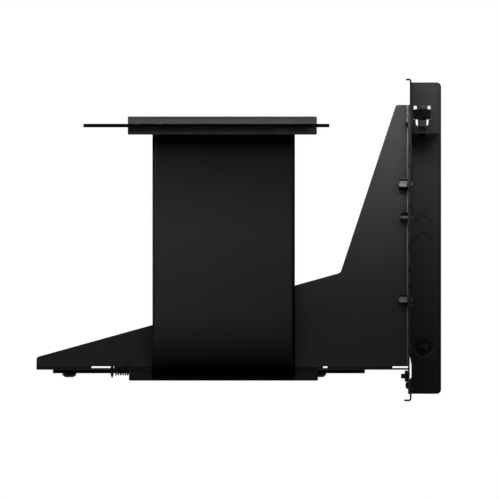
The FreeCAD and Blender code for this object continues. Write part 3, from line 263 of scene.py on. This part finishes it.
# The coat in its own tone; the rear frame carries the same coat darker, as painted shade.
riser_coat = powder_coat("black_riser_coat", (0.027, 0.027, 0.0274), (0.033, 0.033, 0.0334))
x, y, z = object_axes(riser_coat)
# Painted shade: a dark line along the shelf's bend.
retone(riser_coat, near(z, SHELF_BEND_Z, SHELF_BEND_HALF), (0.006, 0.006, 0.006))
# Painted highlight: a light line along the rear flange's bend.
bend_highlight = both(near(x, BEND_X, BEND_HALF_WIDTH), near(y, BEND_Y, BEND_HALF_DEPTH))
retone(riser_coat, bend_highlight, (0.2, 0.2, 0.201))
dress(riser_coat, "riser_bracket")


# Rear flange fasteners: two press-in studs with tall hex nuts, a dome-headed cross screw, a short stud with
# a thin nut at the foot, and two rivets. All are blacked steel, and clamp the riser bracket to the panel.
# The nuts' dark undersides and the light band on the dome follow the photograph.
WELD = 0.002
SHARP_ANGLE = math.radians(32)
CHAMFER_START = 0.05
CHAMFER_ANGLE = math.radians(30)
THREAD_STEPS = 24
THREAD_SINK = 0.15
RIDGE_BASE = 0.46
RIDGE_CREST = 0.07
CROSS_TAPER = 0.72


def steel_finish(name, dark, light, roughness, specular, metallic=0.0):
    """A chemical finish on turned or stamped steel, with fine tool marks."""
    return grained_finish(name, dark, light, roughness, specular,
                          cloud_size=3, grain_size=0.12, relief=0.003, metallic=metallic)


def turned(profile, steps=48, closed=False):
    """A shape turned about Z from (radius, height) points in millimetres; one on the axis closes it."""
    shape = bmesh.new()
    line = [shape.verts.new((radius, 0, height)) for radius, height in profile]
    pairs = list(zip(line, line[1:])) + ([(line[-1], line[0])] if closed else [])
    edges = [shape.edges.new(pair) for pair in pairs]
    bmesh.ops.spin(shape, geom=line + edges, cent=(0, 0, 0), axis=(0, 0, 1), angle=2 * math.pi, steps=steps,
                   use_merge=True)
    bmesh.ops.remove_doubles(shape, verts=shape.verts, dist=WELD)
    return shape


def hex_nut(across, height, bore):
    """A hex nut on Z, a flat to each side of X: a turned blank drawn out to six flats, ends chamfered."""
    half = across / 2
    shape = turned([(bore, 0), (half, 0), (2 * half, 0), (2 * half, height), (half, height), (bore, height)],
                   closed=True, steps=72)
    for corner in shape.verts:
        if corner.co.xy.length > 1.5 * half:
            angle = math.atan2(corner.co.y, corner.co.x)
            reach = half / math.cos((angle + math.pi / 6) % (math.pi / 3) - math.pi / 6)
            corner.co.xy = reach * Vector((math.cos(angle), math.sin(angle)))
            drop = CHAMFER_START * half + (reach - half) * math.tan(CHAMFER_ANGLE)
            corner.co.z += drop if corner.co.z < height / 2 else -drop
    return shape


def add_thread(shape, root, crest, low, high, pitch):
    """Wind a thread's ridge round a turned core, from one height to another."""
    steps = round((high - low) / pitch * THREAD_STEPS)
    base = root - THREAD_SINK
    section = ((base, -RIDGE_BASE), (crest, -RIDGE_CREST), (crest, RIDGE_CREST), (base, RIDGE_BASE))
    ring = [shape.verts.new((radius, 0, low + share * pitch)) for radius, share in section]
    face = shape.faces.new(ring)
    bmesh.ops.spin(shape, geom=[face], cent=(0, 0, 0), axis=(0, 0, 1), dvec=(0, 0, pitch / THREAD_STEPS),
                   angle=2 * math.pi * steps / THREAD_STEPS, steps=steps)
    start_edges = [edge for edge in shape.edges if edge.is_boundary and ring[0] in edge.verts]
    bmesh.ops.holes_fill(shape, edges=start_edges)


def add_cross(shape, top, arm, half_width, depth):
    """Close the open top of a turned head with a face that has a tapered cross recess."""
    rim = [edge for edge in shape.edges if edge.is_boundary]
    quarter = [(half_width, arm), (half_width, half_width), (arm, half_width)]
    outline = []
    for turn in range(4):
        spin = Matrix.Rotation(-turn * math.pi / 2, 2)
        outline += [spin @ Vector(point) for point in quarter]
    corners = [shape.verts.new((*point, top)) for point in outline]
    edges = [shape.edges.new(pair) for pair in zip(corners, corners[1:] + corners[:1])]
    bmesh.ops.triangle_fill(shape, use_beauty=True, edges=rim + edges)
    walls = bmesh.ops.extrude_edge_only(shape, edges=edges)["geom"]
    floor_corners = [item for item in walls if isinstance(item, bmesh.types.BMVert)]
    taper = Matrix.Translation((0, 0, -depth)) @ Matrix.Diagonal((CROSS_TAPER, CROSS_TAPER, 1, 1))
    bmesh.ops.transform(shape, matrix=taper, verts=floor_corners)
    floor_edges = [item for item in walls if isinstance(item, bmesh.types.BMEdge)]
    bmesh.ops.triangle_fill(shape, use_beauty=True, edges=floor_edges)


def along(centre, axis):
    """The place of a shape drawn on Z in millimetres: its axis turned, its origin at a point of the part."""
    turn = Vector(axis).to_track_quat("Z", "Y").to_matrix().to_4x4()
    return Matrix.Translation(centre) @ turn @ Matrix.Scale(MM, 4)


def build(name, shapes, material, slot, body, *replaced):
    """Make one piece from placed shapes, and let it ride on a body and stand for CAD nodes."""
    mesh = bpy.data.meshes.new(name)
    whole = bmesh.new()
    for shape, place in shapes:
        bmesh.ops.recalc_face_normals(shape, faces=shape.faces)
        shape.transform(place)
        shape.to_mesh(mesh)
        whole.from_mesh(mesh)
        shape.free()
    whole.to_mesh(mesh)
    whole.free()
    mesh.polygons.foreach_set("use_smooth", [True] * len(mesh.polygons))
    mesh.set_sharp_from_angle(angle=SHARP_ANGLE)
    mesh.materials.append(material)
    piece = bpy.data.objects.new(name, mesh)
    scene.collection.objects.link(piece)
    if body:
        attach(piece, body)
    if replaced:
        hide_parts(*replaced)
    return piece


black_oxide = steel_finish("black_oxide", (0.003, 0.003, 0.0031), (0.0045, 0.0045, 0.0046),
                           (0.34, 0.46), 0.03)
dress(black_oxide, "locating_rivet", "foot_rivet")

STUD_SPACING = 52.1 * MM
STUD_RADIUS = 1.25
NUT_ACROSS = 4.35
NUT_TURN = math.radians(12)
NUT_SHADE_DROP = 1.7 * MM
NUT_SHADE_HALF = 0.95 * MM
low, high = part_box("bracket_nuts")
middle = (low + high) / 2
black_steel = steel_finish("black_steel", (0.024, 0.024, 0.0243), (0.034, 0.034, 0.0344), (0.3, 0.42), 0.5,
                           metallic=1.0)
z = object_axes(black_steel)["Z"]
nut_shapes = []
for level in (middle.z + STUD_SPACING / 2, middle.z - STUD_SPACING / 2):
    # Painted shade: each nut's underside is coloured near black.
    nut_underside_shade = near(z, level - NUT_SHADE_DROP, NUT_SHADE_HALF)
    retone(black_steel, nut_underside_shade, (0.001, 0.001, 0.001))
    nut_place = along((high.x, middle.y, level), (-1, 0, 0)) @ Matrix.Rotation(NUT_TURN, 4, "Z")
    nut_shapes.append((hex_nut(NUT_ACROSS, (high.x - low.x) / MM, STUD_RADIUS), nut_place))
dress(black_steel, "bracket_studs")
build("flange_nuts", nut_shapes, black_steel, "black_steel", "bracket", "bracket_nuts")

DOME_HEAD = 3.5
DOME_SHANK = 1.25
BAND_RISE = 0.2 * MM
BAND_HALF = 0.5 * MM
low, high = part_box("bracket_screw")
middle = (low + high) / 2
dome_finish = steel_finish("black_dome", (0.003, 0.003, 0.0031), (0.0045, 0.0045, 0.0046),
                           (0.3, 0.42), 0.03)
# Painted highlight: a light band along the dome screw at its middle height.
dome_highlight = near(object_axes(dome_finish)["Z"], middle.z + BAND_RISE, BAND_HALF)
retone(dome_finish, dome_highlight, (0.1, 0.1, 0.101))
radius = (high.z - low.z) / 2 / MM
length = (high.x - low.x) / MM
grip = length - DOME_HEAD
dome = turned([(0, 0), (DOME_SHANK, 0), (DOME_SHANK, grip), (radius, grip), (radius, length - 1.1),
               (radius - 0.1, length - 0.65), (radius - 0.35, length - 0.28), (radius - 0.7, length - 0.06),
               (radius - 0.95, length)])
add_cross(dome, length, arm=0.95, half_width=0.24, depth=1.2)
dome_place = along((high.x, middle.y, middle.z), (-1, 0, 0))
build("flange_screw", [(dome, dome_place)], dome_finish, "black_steel", "bracket", "bracket_screw")

FOOT_ROOT = 1.02
FOOT_CREST = 1.25
FOOT_NUT_ACROSS = 4.5
low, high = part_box("foot_bolt")
middle = (low + high) / 2
length = (high.x - low.x) / MM
stud = turned([(0, 0), (FOOT_CREST, 0), (FOOT_CREST, 0.9), (FOOT_ROOT, 1.0), (FOOT_ROOT, length - 0.3),
               (0.75, length), (0, length)])
add_thread(stud, FOOT_ROOT, FOOT_CREST, low=1.3, high=length - 0.35, pitch=0.45)
stud_place = along((high.x, middle.y, middle.z), (-1, 0, 0))
build("foot_stud", [(stud, stud_place)], black_oxide, "black_steel", "bracket", "foot_bolt")
low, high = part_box("foot_nut")
foot_nut = hex_nut(FOOT_NUT_ACROSS, (high.x - low.x) / MM, FOOT_ROOT)
nut_place = along((high.x, middle.y, middle.z), (-1, 0, 0))
build("foot_hex_nut", [(foot_nut, nut_place)], black_oxide, "black_steel", "bracket", "foot_nut")


# Slot board: a printed circuit board, black solder mask over glass fibre, held under the shelf by two cross
# screws with pan heads. The card slot's tails come through it in four staggered rows and are soldered below.
# Its near edge is lighter over the cable cover, as in the photograph.
def board_finish(name):
    """Black solder mask."""
    return grained_finish(name, (0.0008, 0.0008, 0.001), (0.0014, 0.0014, 0.0017), (0.36, 0.46), 0.0,
                          cloud_size=6, grain_size=0.5, relief=0.004)


LIGHT_EDGE_DEPTH = 0.3 * MM
slot_board_finish = board_finish("black_slot_board")
x, y = object_axes(slot_board_finish)[:2]
board_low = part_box("slot_board")[0]
low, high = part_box("slot_cable_cover")
over_cover = near(x, (low.x + high.x) / 2, (high.x - low.x) / 2)
light_edge = both(over_cover, below(y, board_low.y + LIGHT_EDGE_DEPTH))
retone(slot_board_finish, light_edge, (0.024, 0.024, 0.0243))
dress(slot_board_finish, "slot_board")

SHORT_CONTACTS = 11
LONG_CONTACTS = 71
KEY_FROM_END = 14.5
KEY_TO_CONTACT = 1.5
INNER_ROW = 1.25
ROW_STEP = 2.0
low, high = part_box("slot_body")
middle = (low + high) / 2
key_x = high.x - KEY_FROM_END * MM
contact_places = [key_x + (KEY_TO_CONTACT + index) * MM for index in range(SHORT_CONTACTS)]
contact_places += [key_x - (KEY_TO_CONTACT + index) * MM for index in range(LONG_CONTACTS)]
tin_solder = grained_finish("tin_solder", (0.42, 0.42, 0.41), (0.55, 0.55, 0.54), (0.22, 0.38), 0.5,
                            cloud_size=2, grain_size=0.3, relief=0.01, metallic=1.0)
solder_shapes = []
for index, across in enumerate(contact_places):
    for side in (-1, 1):
        depth = middle.y + side * (INNER_ROW + ROW_STEP * (index % 2)) * MM
        joint = turned([(0.62, -0.02), (0.42, 0.12), (0.27, 0.4), (0.22, 0.85), (0, 0.95)], steps=8)
        solder_shapes.append((joint, along((across, depth, board_low.z), (0, 0, -1))))
build("slot_solder_joints", solder_shapes, tin_solder, "contact_gold", "bracket")

PAN_RADIUS = 3.2
PAN_RISE = 1.75
PAN_ROOT = 1.05
PAN_CREST = 1.25
low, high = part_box("board_screws")
middle = (low + high) / 2
shank = (high.z - board_low.z) / MM
board_screw_shapes = []
for across in (low.x + PAN_RADIUS * MM, high.x - PAN_RADIUS * MM):
    screw = turned([(0, -shank), (0.85, -shank), (PAN_ROOT, 0.3 - shank), (PAN_ROOT, -2.3),
                    (PAN_CREST, -2.2), (PAN_CREST, 0), (PAN_RADIUS, 0), (PAN_RADIUS, 0.3),
                    (0.96 * PAN_RADIUS, 0.7), (0.86 * PAN_RADIUS, 1.15), (0.72 * PAN_RADIUS, 1.5),
                    (0.56 * PAN_RADIUS, PAN_RISE)])
    add_thread(screw, PAN_ROOT, PAN_CREST, low=0.35 - shank, high=-2.4, pitch=0.45)
    add_cross(screw, PAN_RISE, arm=1.4, half_width=0.32, depth=1.1)
    board_screw_shapes.append((screw, along((across, middle.y, board_low.z), (0, 0, -1))))
build("board_cross_screws", board_screw_shapes, black_oxide, "black_steel", "bracket", "board_screws")


# Card slot: a block moulded in glass-filled black plastic, with a key and two rows of spring contacts,
# stamped from strip and gold plated. It stands on the slot board and comes up through the shelf.
def moulded_finish(name, dark, light, roughness, specular):
    """Moulded black plastic with the fine texture of its mould."""
    return grained_finish(name, dark, light, roughness, specular,
                          cloud_size=9, grain_size=0.16, relief=0.006)


black_moulding = moulded_finish("black_moulding", (0.021, 0.021, 0.0213), (0.025, 0.025, 0.0253),
                                (0.42, 0.52), 0.04)
dress(black_moulding, "slot_body")
contact_gold = grained_finish("contact_gold", (0.62, 0.41, 0.14), (0.78, 0.55, 0.22), (0.18, 0.3), 0.5,
                              cloud_size=2, grain_size=0.2, relief=0.002, metallic=1.0)
dress(contact_gold, "slot_contacts")

# Card latch: a stamped steel hook with a pull tab, which slides on a shoulder rivet under the shelf and
# locks the card. A close coil of hard wire pulls it home, from a lug on the gusset to the tab.
dress(black_oxide, "card_latch", "latch_guide")
WIRE = 0.27
WIRE_SIDES = 12
COIL_PITCH = 1.05
COIL_STEPS = 36
low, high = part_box("latch_spring")
coil_radius = (high.z - low.z) / 2 / MM - WIRE
coil_length = (high.x - low.x) / MM - 2 * WIRE
steps = round(coil_length / COIL_PITCH * COIL_STEPS)
coil = bmesh.new()
ring = bmesh.ops.create_circle(coil, cap_ends=True, segments=WIRE_SIDES, radius=WIRE)["verts"]
ring_place = Matrix.Translation((coil_radius, 0, 0)) @ Matrix.Rotation(math.pi / 2, 4, "X")
bmesh.ops.transform(coil, matrix=ring_place, verts=ring)
bmesh.ops.spin(coil, geom=coil.faces[:], cent=(0, 0, 0), axis=(0, 0, 1), dvec=(0, 0, coil_length / steps),
               angle=2 * math.pi * coil_length / COIL_PITCH, steps=steps)
coil_start = Vector((low.x + WIRE * MM, (low.y + high.y) / 2, (low.z + high.z) / 2))
coil_place = along(coil_start, (1, 0, 0))
spring = build("latch_coil", [(coil, coil_place)], black_oxide, "black_steel", None, "latch_spring")
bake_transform(spring)

# Cable cover: a shallow moulded cap of the card slot's plastic, pressed over the soldered joint of the
# ribbon under the slot board. It is darker behind the ribbon, as in the photograph.
ribbon_low, ribbon_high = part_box("ribbon_cable")
ribbon_middle = (ribbon_low + ribbon_high) / 2
ribbon_size = ribbon_high - ribbon_low
cover_moulding = moulded_finish("black_moulding_cover", (0.017, 0.017, 0.0173), (0.021, 0.021, 0.0213),
                                (0.5, 0.6), 0.02)
# Painted shadow: the cover is coloured near black behind the ribbon.
ribbon_shadow = near(object_axes(cover_moulding)["X"], ribbon_middle.x, ribbon_size.x / 2)
retone(cover_moulding, ribbon_shadow, (0.0028, 0.0028, 0.0029))
dress(cover_moulding, "slot_cable_cover")

# Ribbon: a flat bundle of shielded pairs in a smooth black wrap, folded over and welded along both edges. It
# is soldered under the slot board and to the plug board, and bends freely between. Its tone follows the
# photograph, with light and shade painted into it: it is dark at the top, painted light grows down the run
# to grey over the lower bend, painted shade darkens the foot, the right side and both edges, and a faint
# lighter line runs along each edge.
RIBBON_LIGHT_START = 0.92
RIBBON_LIGHT_END = 0.33
RIBBON_LIGHT_CURVE = 1.4
FOOT_START = 0.27
FOOT_END = 0.03
FOOT_CURVE = 1.3
SIDE_SHADE_MOST = 0.26
EDGE_LINE = 1.5 * MM
EDGE_LINE_HALF = 0.16 * MM
EDGE_LINE_MOST = 0.2
RIGHT_SHADE_START = 2.0 * MM
RIGHT_SHADE_END = 0.5 * MM
EDGE_SHADE_WIDTH = 1.1 * MM
EDGE_SHADE_MOST = 0.4
ribbon_wrap = grained_finish("black_ribbon_wrap", (0.0034, 0.0034, 0.0035), (0.0046, 0.0046, 0.0047),
                             (0.42, 0.5), 0.0, cloud_size=12, grain_size=0.4, relief=0.004)
x, _, z = object_axes(ribbon_wrap)
# Painted light: the wrap grows grey from near the top down to the lower bend.
ribbon_light = ramp(z, ribbon_low.z + RIBBON_LIGHT_START * ribbon_size.z, ribbon_low.z + RIBBON_LIGHT_END * ribbon_size.z)
retone(ribbon_wrap, maths("POWER", ribbon_light, RIBBON_LIGHT_CURVE), (0.054, 0.054, 0.0544))
# Painted shade: darker down the lower bend to the foot.
foot_shade = ramp(z, ribbon_low.z + FOOT_START * ribbon_size.z, ribbon_low.z + FOOT_END * ribbon_size.z)
retone(ribbon_wrap, maths("POWER", foot_shade, FOOT_CURVE), (0.001, 0.001, 0.001))
# Painted shade: darker towards the right side.
retone(ribbon_wrap, ramp(x, ribbon_low.x, ribbon_high.x, most=SIDE_SHADE_MOST), (0.002, 0.002, 0.002))
from_edge = maths("SUBTRACT", ribbon_size.x / 2, distance(x, ribbon_middle.x))
# A faint lighter line near each edge.
retone(ribbon_wrap, maths("MULTIPLY", near(from_edge, EDGE_LINE, EDGE_LINE_HALF), EDGE_LINE_MOST), (0.06, 0.06, 0.0604))
# Painted shade: a dark band along the right edge.
retone(ribbon_wrap, ramp(x, ribbon_high.x - RIGHT_SHADE_START, ribbon_high.x - RIGHT_SHADE_END), (0.001, 0.001, 0.001))
# Painted shade: darker along both edges, where the wrap turns away.
retone(ribbon_wrap, maths("MULTIPLY", below(from_edge, EDGE_SHADE_WIDTH), EDGE_SHADE_MOST), (0.002, 0.002, 0.002))
dress(ribbon_wrap, "ribbon_cable")


# Plug: a short circuit board between two moulded covers, glued over the ribbon's end.
# Its tongue has gold plated fingers on both faces, and the near face of each cover is hollowed for the
# fingertips that pull it out.
def cut_across(shape, point, direction):
    """Cut new edges into a shape along a plane."""
    everything = shape.verts[:] + shape.edges[:] + shape.faces[:]
    bmesh.ops.bisect_plane(shape, geom=everything, dist=WELD * MM, plane_co=point, plane_no=direction)


FINGER_WIDTH = 0.7 * MM
FINGER_LENGTH = 5.0 * MM
FINGER_THICK = 0.03 * MM
FINGER_SINK = 0.012 * MM
FINGER_FROM_TIP = 0.65 * MM
dress(board_finish("black_solder_mask"), "plug_board")
low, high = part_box("plug_board")
finger_y = low.y + FINGER_FROM_TIP + FINGER_LENGTH / 2
finger_size = Matrix.Diagonal((FINGER_WIDTH, FINGER_LENGTH, FINGER_THICK, 1))
finger_shapes = []
for level in (high.z - FINGER_SINK, low.z + FINGER_SINK):
    for across in contact_places:
        finger = bmesh.new()
        bmesh.ops.create_cube(finger, size=1)
        upright = [edge for edge in finger.edges if abs(edge.verts[0].co.z - edge.verts[1].co.z) > 0.5]
        bmesh.ops.bevel(finger, geom=upright, offset=0.3, offset_type="PERCENT", affect="EDGES", segments=2,
                        profile=0.5, material=-1)
        finger_shapes.append((finger, Matrix.Translation((across, finger_y, level)) @ finger_size))
build("plug_fingers", finger_shapes, contact_gold, "contact_gold", "bracket")

COVER_ROUND = 0.5 * MM
HOLLOW_CUTS = 8
HOLLOW_DEPTH = 0.42 * MM
HOLLOW_FROM_END = 1.2 * MM
HOLLOW_FROM_BOARD = 0.15 * MM
SLACK = 0.1 * MM
# Painted shade: the lower cover takes a darker copy of the moulding, for the shadow of the board's tongue.
shaded_lower_moulding = moulded_finish("black_moulding_lower_shaded", (0.007, 0.007, 0.0072), (0.0085, 0.0085, 0.0087),
                                (0.46, 0.56), 0.03)
for name, is_upper, cover_finish in (("plug_cover_upper", True, black_moulding),
                                     ("plug_cover_lower", False, shaded_lower_moulding)):
    low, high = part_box(name)
    middle = (low + high) / 2
    cover = bmesh.new()
    bmesh.ops.create_cube(cover, size=1)
    cover_place = Matrix.Translation(middle) @ Matrix.Diagonal((*(high - low), 1))
    bmesh.ops.transform(cover, matrix=cover_place, verts=cover.verts)
    outer = high.z if is_upper else low.z
    rim = [edge for edge in cover.edges
           if all(abs(corner.co.z - outer) < WELD * MM for corner in edge.verts)]
    bmesh.ops.bevel(cover, geom=rim, offset=COVER_ROUND, affect="EDGES", segments=4, profile=0.5,
                    material=-1)
    hollow_low = low.z + (HOLLOW_FROM_BOARD if is_upper else COVER_ROUND)
    hollow_high = high.z - (COVER_ROUND if is_upper else HOLLOW_FROM_BOARD)
    for cut in range(HOLLOW_CUTS + 1):
        level = hollow_low + (hollow_high - hollow_low) * cut / HOLLOW_CUTS
        cut_across(cover, (0, 0, level), (0, 0, 1))
    for across in (low.x + HOLLOW_FROM_END, high.x - HOLLOW_FROM_END):
        cut_across(cover, (across, 0, 0), (1, 0, 0))
    hollow_half = (high.x - low.x) / 2 - HOLLOW_FROM_END + SLACK
    for corner in cover.verts:
        on_face = abs(corner.co.y - low.y) < WELD * MM and abs(corner.co.x - middle.x) < hollow_half
        if on_face and hollow_low < corner.co.z < hollow_high:
            share = (corner.co.z - hollow_low) / (hollow_high - hollow_low)
            corner.co.y += HOLLOW_DEPTH * math.sin(math.pi * share)
    build(name + "_shell", [(cover, Matrix.Identity(4))], cover_finish, "black_moulding", "bracket", name)


# Card thumbscrews: three turned steel screws with straight-knurled heads and a cross recess in the crown,
# blacked, and lighter on crown and neck as the photograph shows. Each is held captive in the ledge by its
# neck, and clamps the folded tab of a card.
KNURLS = 36


def knurl(shape, radius, depth, low, high):
    """Press straight grooves into a turned head: every second column of it goes in."""
    for corner in shape.verts:
        if low < corner.co.z < high and abs(corner.co.xy.length - radius) < WELD:
            angle = math.atan2(corner.co.y, corner.co.x)
            if round(angle / math.pi * KNURLS) % 2:
                corner.co.xy *= (radius - depth) / radius


CARD_ROOT = 1.4
CARD_CREST = 1.8
CARD_SHANK = 1.6
CARD_NECK = 2.0
CARD_HEAD = 3.85
CARD_CHAMFER = 0.4
CARD_CROWN = 2.45
CROWN_RISE = 1.6
NECK_START = 6.3
HEAD_START = 9.2
LIGHT_MARGIN = 0.05
card_screw_black = steel_finish("black_card_screw", (0.0045, 0.0045, 0.0046), (0.006, 0.006, 0.0061),
                                (0.5, 0.6), 0.0)
low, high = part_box("card_thumbscrew_1")
z = object_axes(card_screw_black)["Z"]
# Painted highlight: the crown and the neck are coloured lighter than the head.
crown = above(z, high.z - (CROWN_RISE - LIGHT_MARGIN) * MM)
neck_half = (HEAD_START - NECK_START) / 2 - LIGHT_MARGIN
neck = near(z, low.z + (NECK_START + HEAD_START) / 2 * MM, neck_half * MM)
retone(card_screw_black, either(crown, neck), (0.026, 0.026, 0.0263))
for number in (1, 2, 3):
    low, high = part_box(f"card_thumbscrew_{number}")
    middle = (low + high) / 2
    length = (high.z - low.z) / MM
    head = length - CROWN_RISE
    head_edge = CARD_HEAD - CARD_CHAMFER
    screw = turned([(0, 0), (0.7, 0), (CARD_ROOT, 0.7), (CARD_ROOT, 2.95), (CARD_SHANK, 2.96),
                    (CARD_SHANK, NECK_START), (CARD_NECK, NECK_START), (CARD_NECK, HEAD_START),
                    (head_edge, HEAD_START), (CARD_HEAD, HEAD_START + CARD_CHAMFER),
                    (CARD_HEAD, head - CARD_CHAMFER), (head_edge, head), (CARD_CROWN, head),
                    (CARD_CROWN, length - 0.25), (2.2, length)], steps=2 * KNURLS)
    knurl(screw, CARD_HEAD, depth=0.28, low=HEAD_START, high=head)
    add_thread(screw, CARD_ROOT, CARD_CREST, low=0.75, high=2.6, pitch=0.7)
    add_cross(screw, length, arm=1.5, half_width=0.36, depth=1.3)
    screw_place = along((middle.x, middle.y, low.z), (0, 0, 1))
    build(f"card_knurled_screw_{number}", [(screw, screw_place)], card_screw_black, "black_steel",
          f"card_screw_{number}", f"card_thumbscrew_{number}")

# Case thumbscrew: a captive turned steel screw, blacked, with a large knurled head and a cross recess. A
# spring clip in its groove keeps it in the ferrule that is riveted to the flange, and its thread goes into
# the case.
dress(black_oxide, "case_screw_clip", "case_screw_ferrule")
CASE_TIP = 5.5
CASE_ROOT = 1.38
CASE_CREST = 1.75
CASE_GROOVE = 1.5
CASE_SHANK = 2.05
CASE_HEAD = 5.5
CASE_HEAD_LENGTH = 7.0
CASE_RECESS = 0.35
low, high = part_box("case_thumbscrew")
head = (high.y - low.y) / MM - CASE_TIP
seat = head - CASE_HEAD_LENGTH
screw = turned([(0, -CASE_TIP), (1.0, -CASE_TIP), (CASE_ROOT, 0.45 - CASE_TIP), (CASE_ROOT, -0.2),
                (CASE_GROOVE, -0.1), (CASE_GROOVE, 0.75), (CASE_SHANK, 0.75), (CASE_SHANK, seat),
                (5.1, seat), (CASE_HEAD, seat + 0.4), (CASE_HEAD, head - 0.5), (5.0, head), (4.3, head),
                (3.9, head - CASE_RECESS), (3.3, head - CASE_RECESS)], steps=2 * KNURLS)
knurl(screw, CASE_HEAD, depth=0.35, low=seat, high=head)
add_thread(screw, CASE_ROOT, CASE_CREST, low=0.6 - CASE_TIP, high=-0.45, pitch=0.79)
add_cross(screw, head - CASE_RECESS, arm=2.5, half_width=0.5, depth=2.2)
screw_place = along((0, 0, 0), (0, 1, 0))
build("case_knurled_screw", [(screw, screw_place)], black_oxide, "black_steel", "case_screw",
      "case_thumbscrew")

# Camera: square on from the motherboard's side and without perspective, as the photograph shows the part.
# Its width is the photograph's 500 pixels of 0.45 mm.
camera_data = bpy.data.cameras.new("camera")
camera_data.type = "ORTHO"
camera_data.ortho_scale = 0.225
camera_data.clip_start = 0.01
camera_data.clip_end = 20
camera = bpy.data.objects.new("camera", camera_data)
camera.location = (-0.0781, -0.8, 0.04355)
camera.rotation_euler = (math.radians(90), 0, 0)
scene.collection.objects.link(camera)
scene.camera = camera

# Floor: a plain pale sheet well under the part, which hangs clear of it as it does in the case. It is hidden
# from diffuse rays, so that it doesn't light the part from below: the floor bounce lamp does that.
FLOOR_Z = -0.3
FLOOR_HALF = 2.0
floor_shape = bmesh.new()
bmesh.ops.create_grid(floor_shape, x_segments=1, y_segments=1, size=FLOOR_HALF,
                      matrix=Matrix.Translation((0, 0, FLOOR_Z)))
floor_mesh = bpy.data.meshes.new("floor")
floor_shape.to_mesh(floor_mesh)
floor_shape.free()
floor_white = bpy.data.materials.new("floor_white")
floor_white.use_nodes = True
floor_shader = floor_white.node_tree.nodes["Principled BSDF"]
floor_shader.inputs["Base Color"].default_value = (0.8, 0.8, 0.8, 1)
floor_shader.inputs["Specular IOR Level"].default_value = 0.0
floor_mesh.materials.append(floor_white)
floor = bpy.data.objects.new("floor", floor_mesh)
scene.collection.objects.link(floor)
floor.visible_diffuse = False

# Studio lights: a soft front light, gridded strips that fall off down the part, a spot on the flange, a wash
# for the floor and its weak bounce, and three soft lights behind. None is seen by the camera.
# Each has its place, its aim, its width and height, its spread in degrees and its power.
STUDIO = {
    "front": ((-0.08, -1.0, 0.15), (0, 1, -0.1), 0.5, 0.5, 180, 1.9),
    "front_grid": ((-0.08, -0.36, 0.16), (0, 1, 0.03), 0.6, 0.05, 60, 0.8),
    "front_beam": ((-0.08, -0.5, 0.24), (0, 1, -0.06), 0.6, 0.03, 40, 0.48),
    "grid_left": ((-0.6, -0.26, 0.25), (0.59, 0.18, 0.05), 0.2, 0.05, 60, 0.12),
    "flange_spot": ((0.25, -0.45, 0.42), (-0.23, 0.45, -0.26), 0.05, 0.05, 20, 0.046),
    "floor_wash": ((0, 0, -0.14), (0, 0, -1), 4.6, 4.6, 180, 70.0),
    "floor_bounce": ((0, 0, -0.28), (0, 0, 1), 2.0, 2.0, 180, 2.6),
    "behind": ((-0.1, 0.6, 0.35), (0, -0.6, -0.3), 0.5, 0.4, 180, 6.0),
    "left_side": ((-0.75, 0.22, 0.12), (0.7, -0.2, -0.08), 0.2, 0.3, 180, 4.0),
    "right_side": ((0.6, 0.3, 0.15), (-0.6, -0.3, -0.1), 0.3, 0.3, 180, 4.0),
}
for name, (place, aim, width, height, spread, power) in STUDIO.items():
    lamp_data = bpy.data.lights.new(name, "AREA")
    lamp_data.shape = "RECTANGLE"
    lamp_data.size = width
    lamp_data.size_y = height
    lamp_data.spread = math.radians(spread)
    lamp_data.energy = power
    lamp = bpy.data.objects.new(name, lamp_data)
    lamp.location = place
    lamp.rotation_euler = Vector(aim).to_track_quat("-Z", "Y").to_euler()
    lamp.visible_camera = False
    scene.collection.objects.link(lamp)

# World: white behind the part and in whatever reflects or refracts it, as in the photograph. As a light it
# is dim, so that the lamps alone shape the part.
WORLD_LIGHT = 0.02
world = bpy.data.worlds.new("studio")
scene.world = world
world.use_nodes = True
background = world.node_tree.nodes["Background"]
background.inputs["Color"].default_value = (1, 1, 1, 1)
path = world.node_tree.nodes.new("ShaderNodeLightPath")
seen = either(path.outputs["Is Camera Ray"], path.outputs["Is Glossy Ray"])
seen = either(seen, path.outputs["Is Transmission Ray"])
world.node_tree.links.new(ramp(seen, 0.0, 1.0, least=WORLD_LIGHT), background.inputs["Strength"])
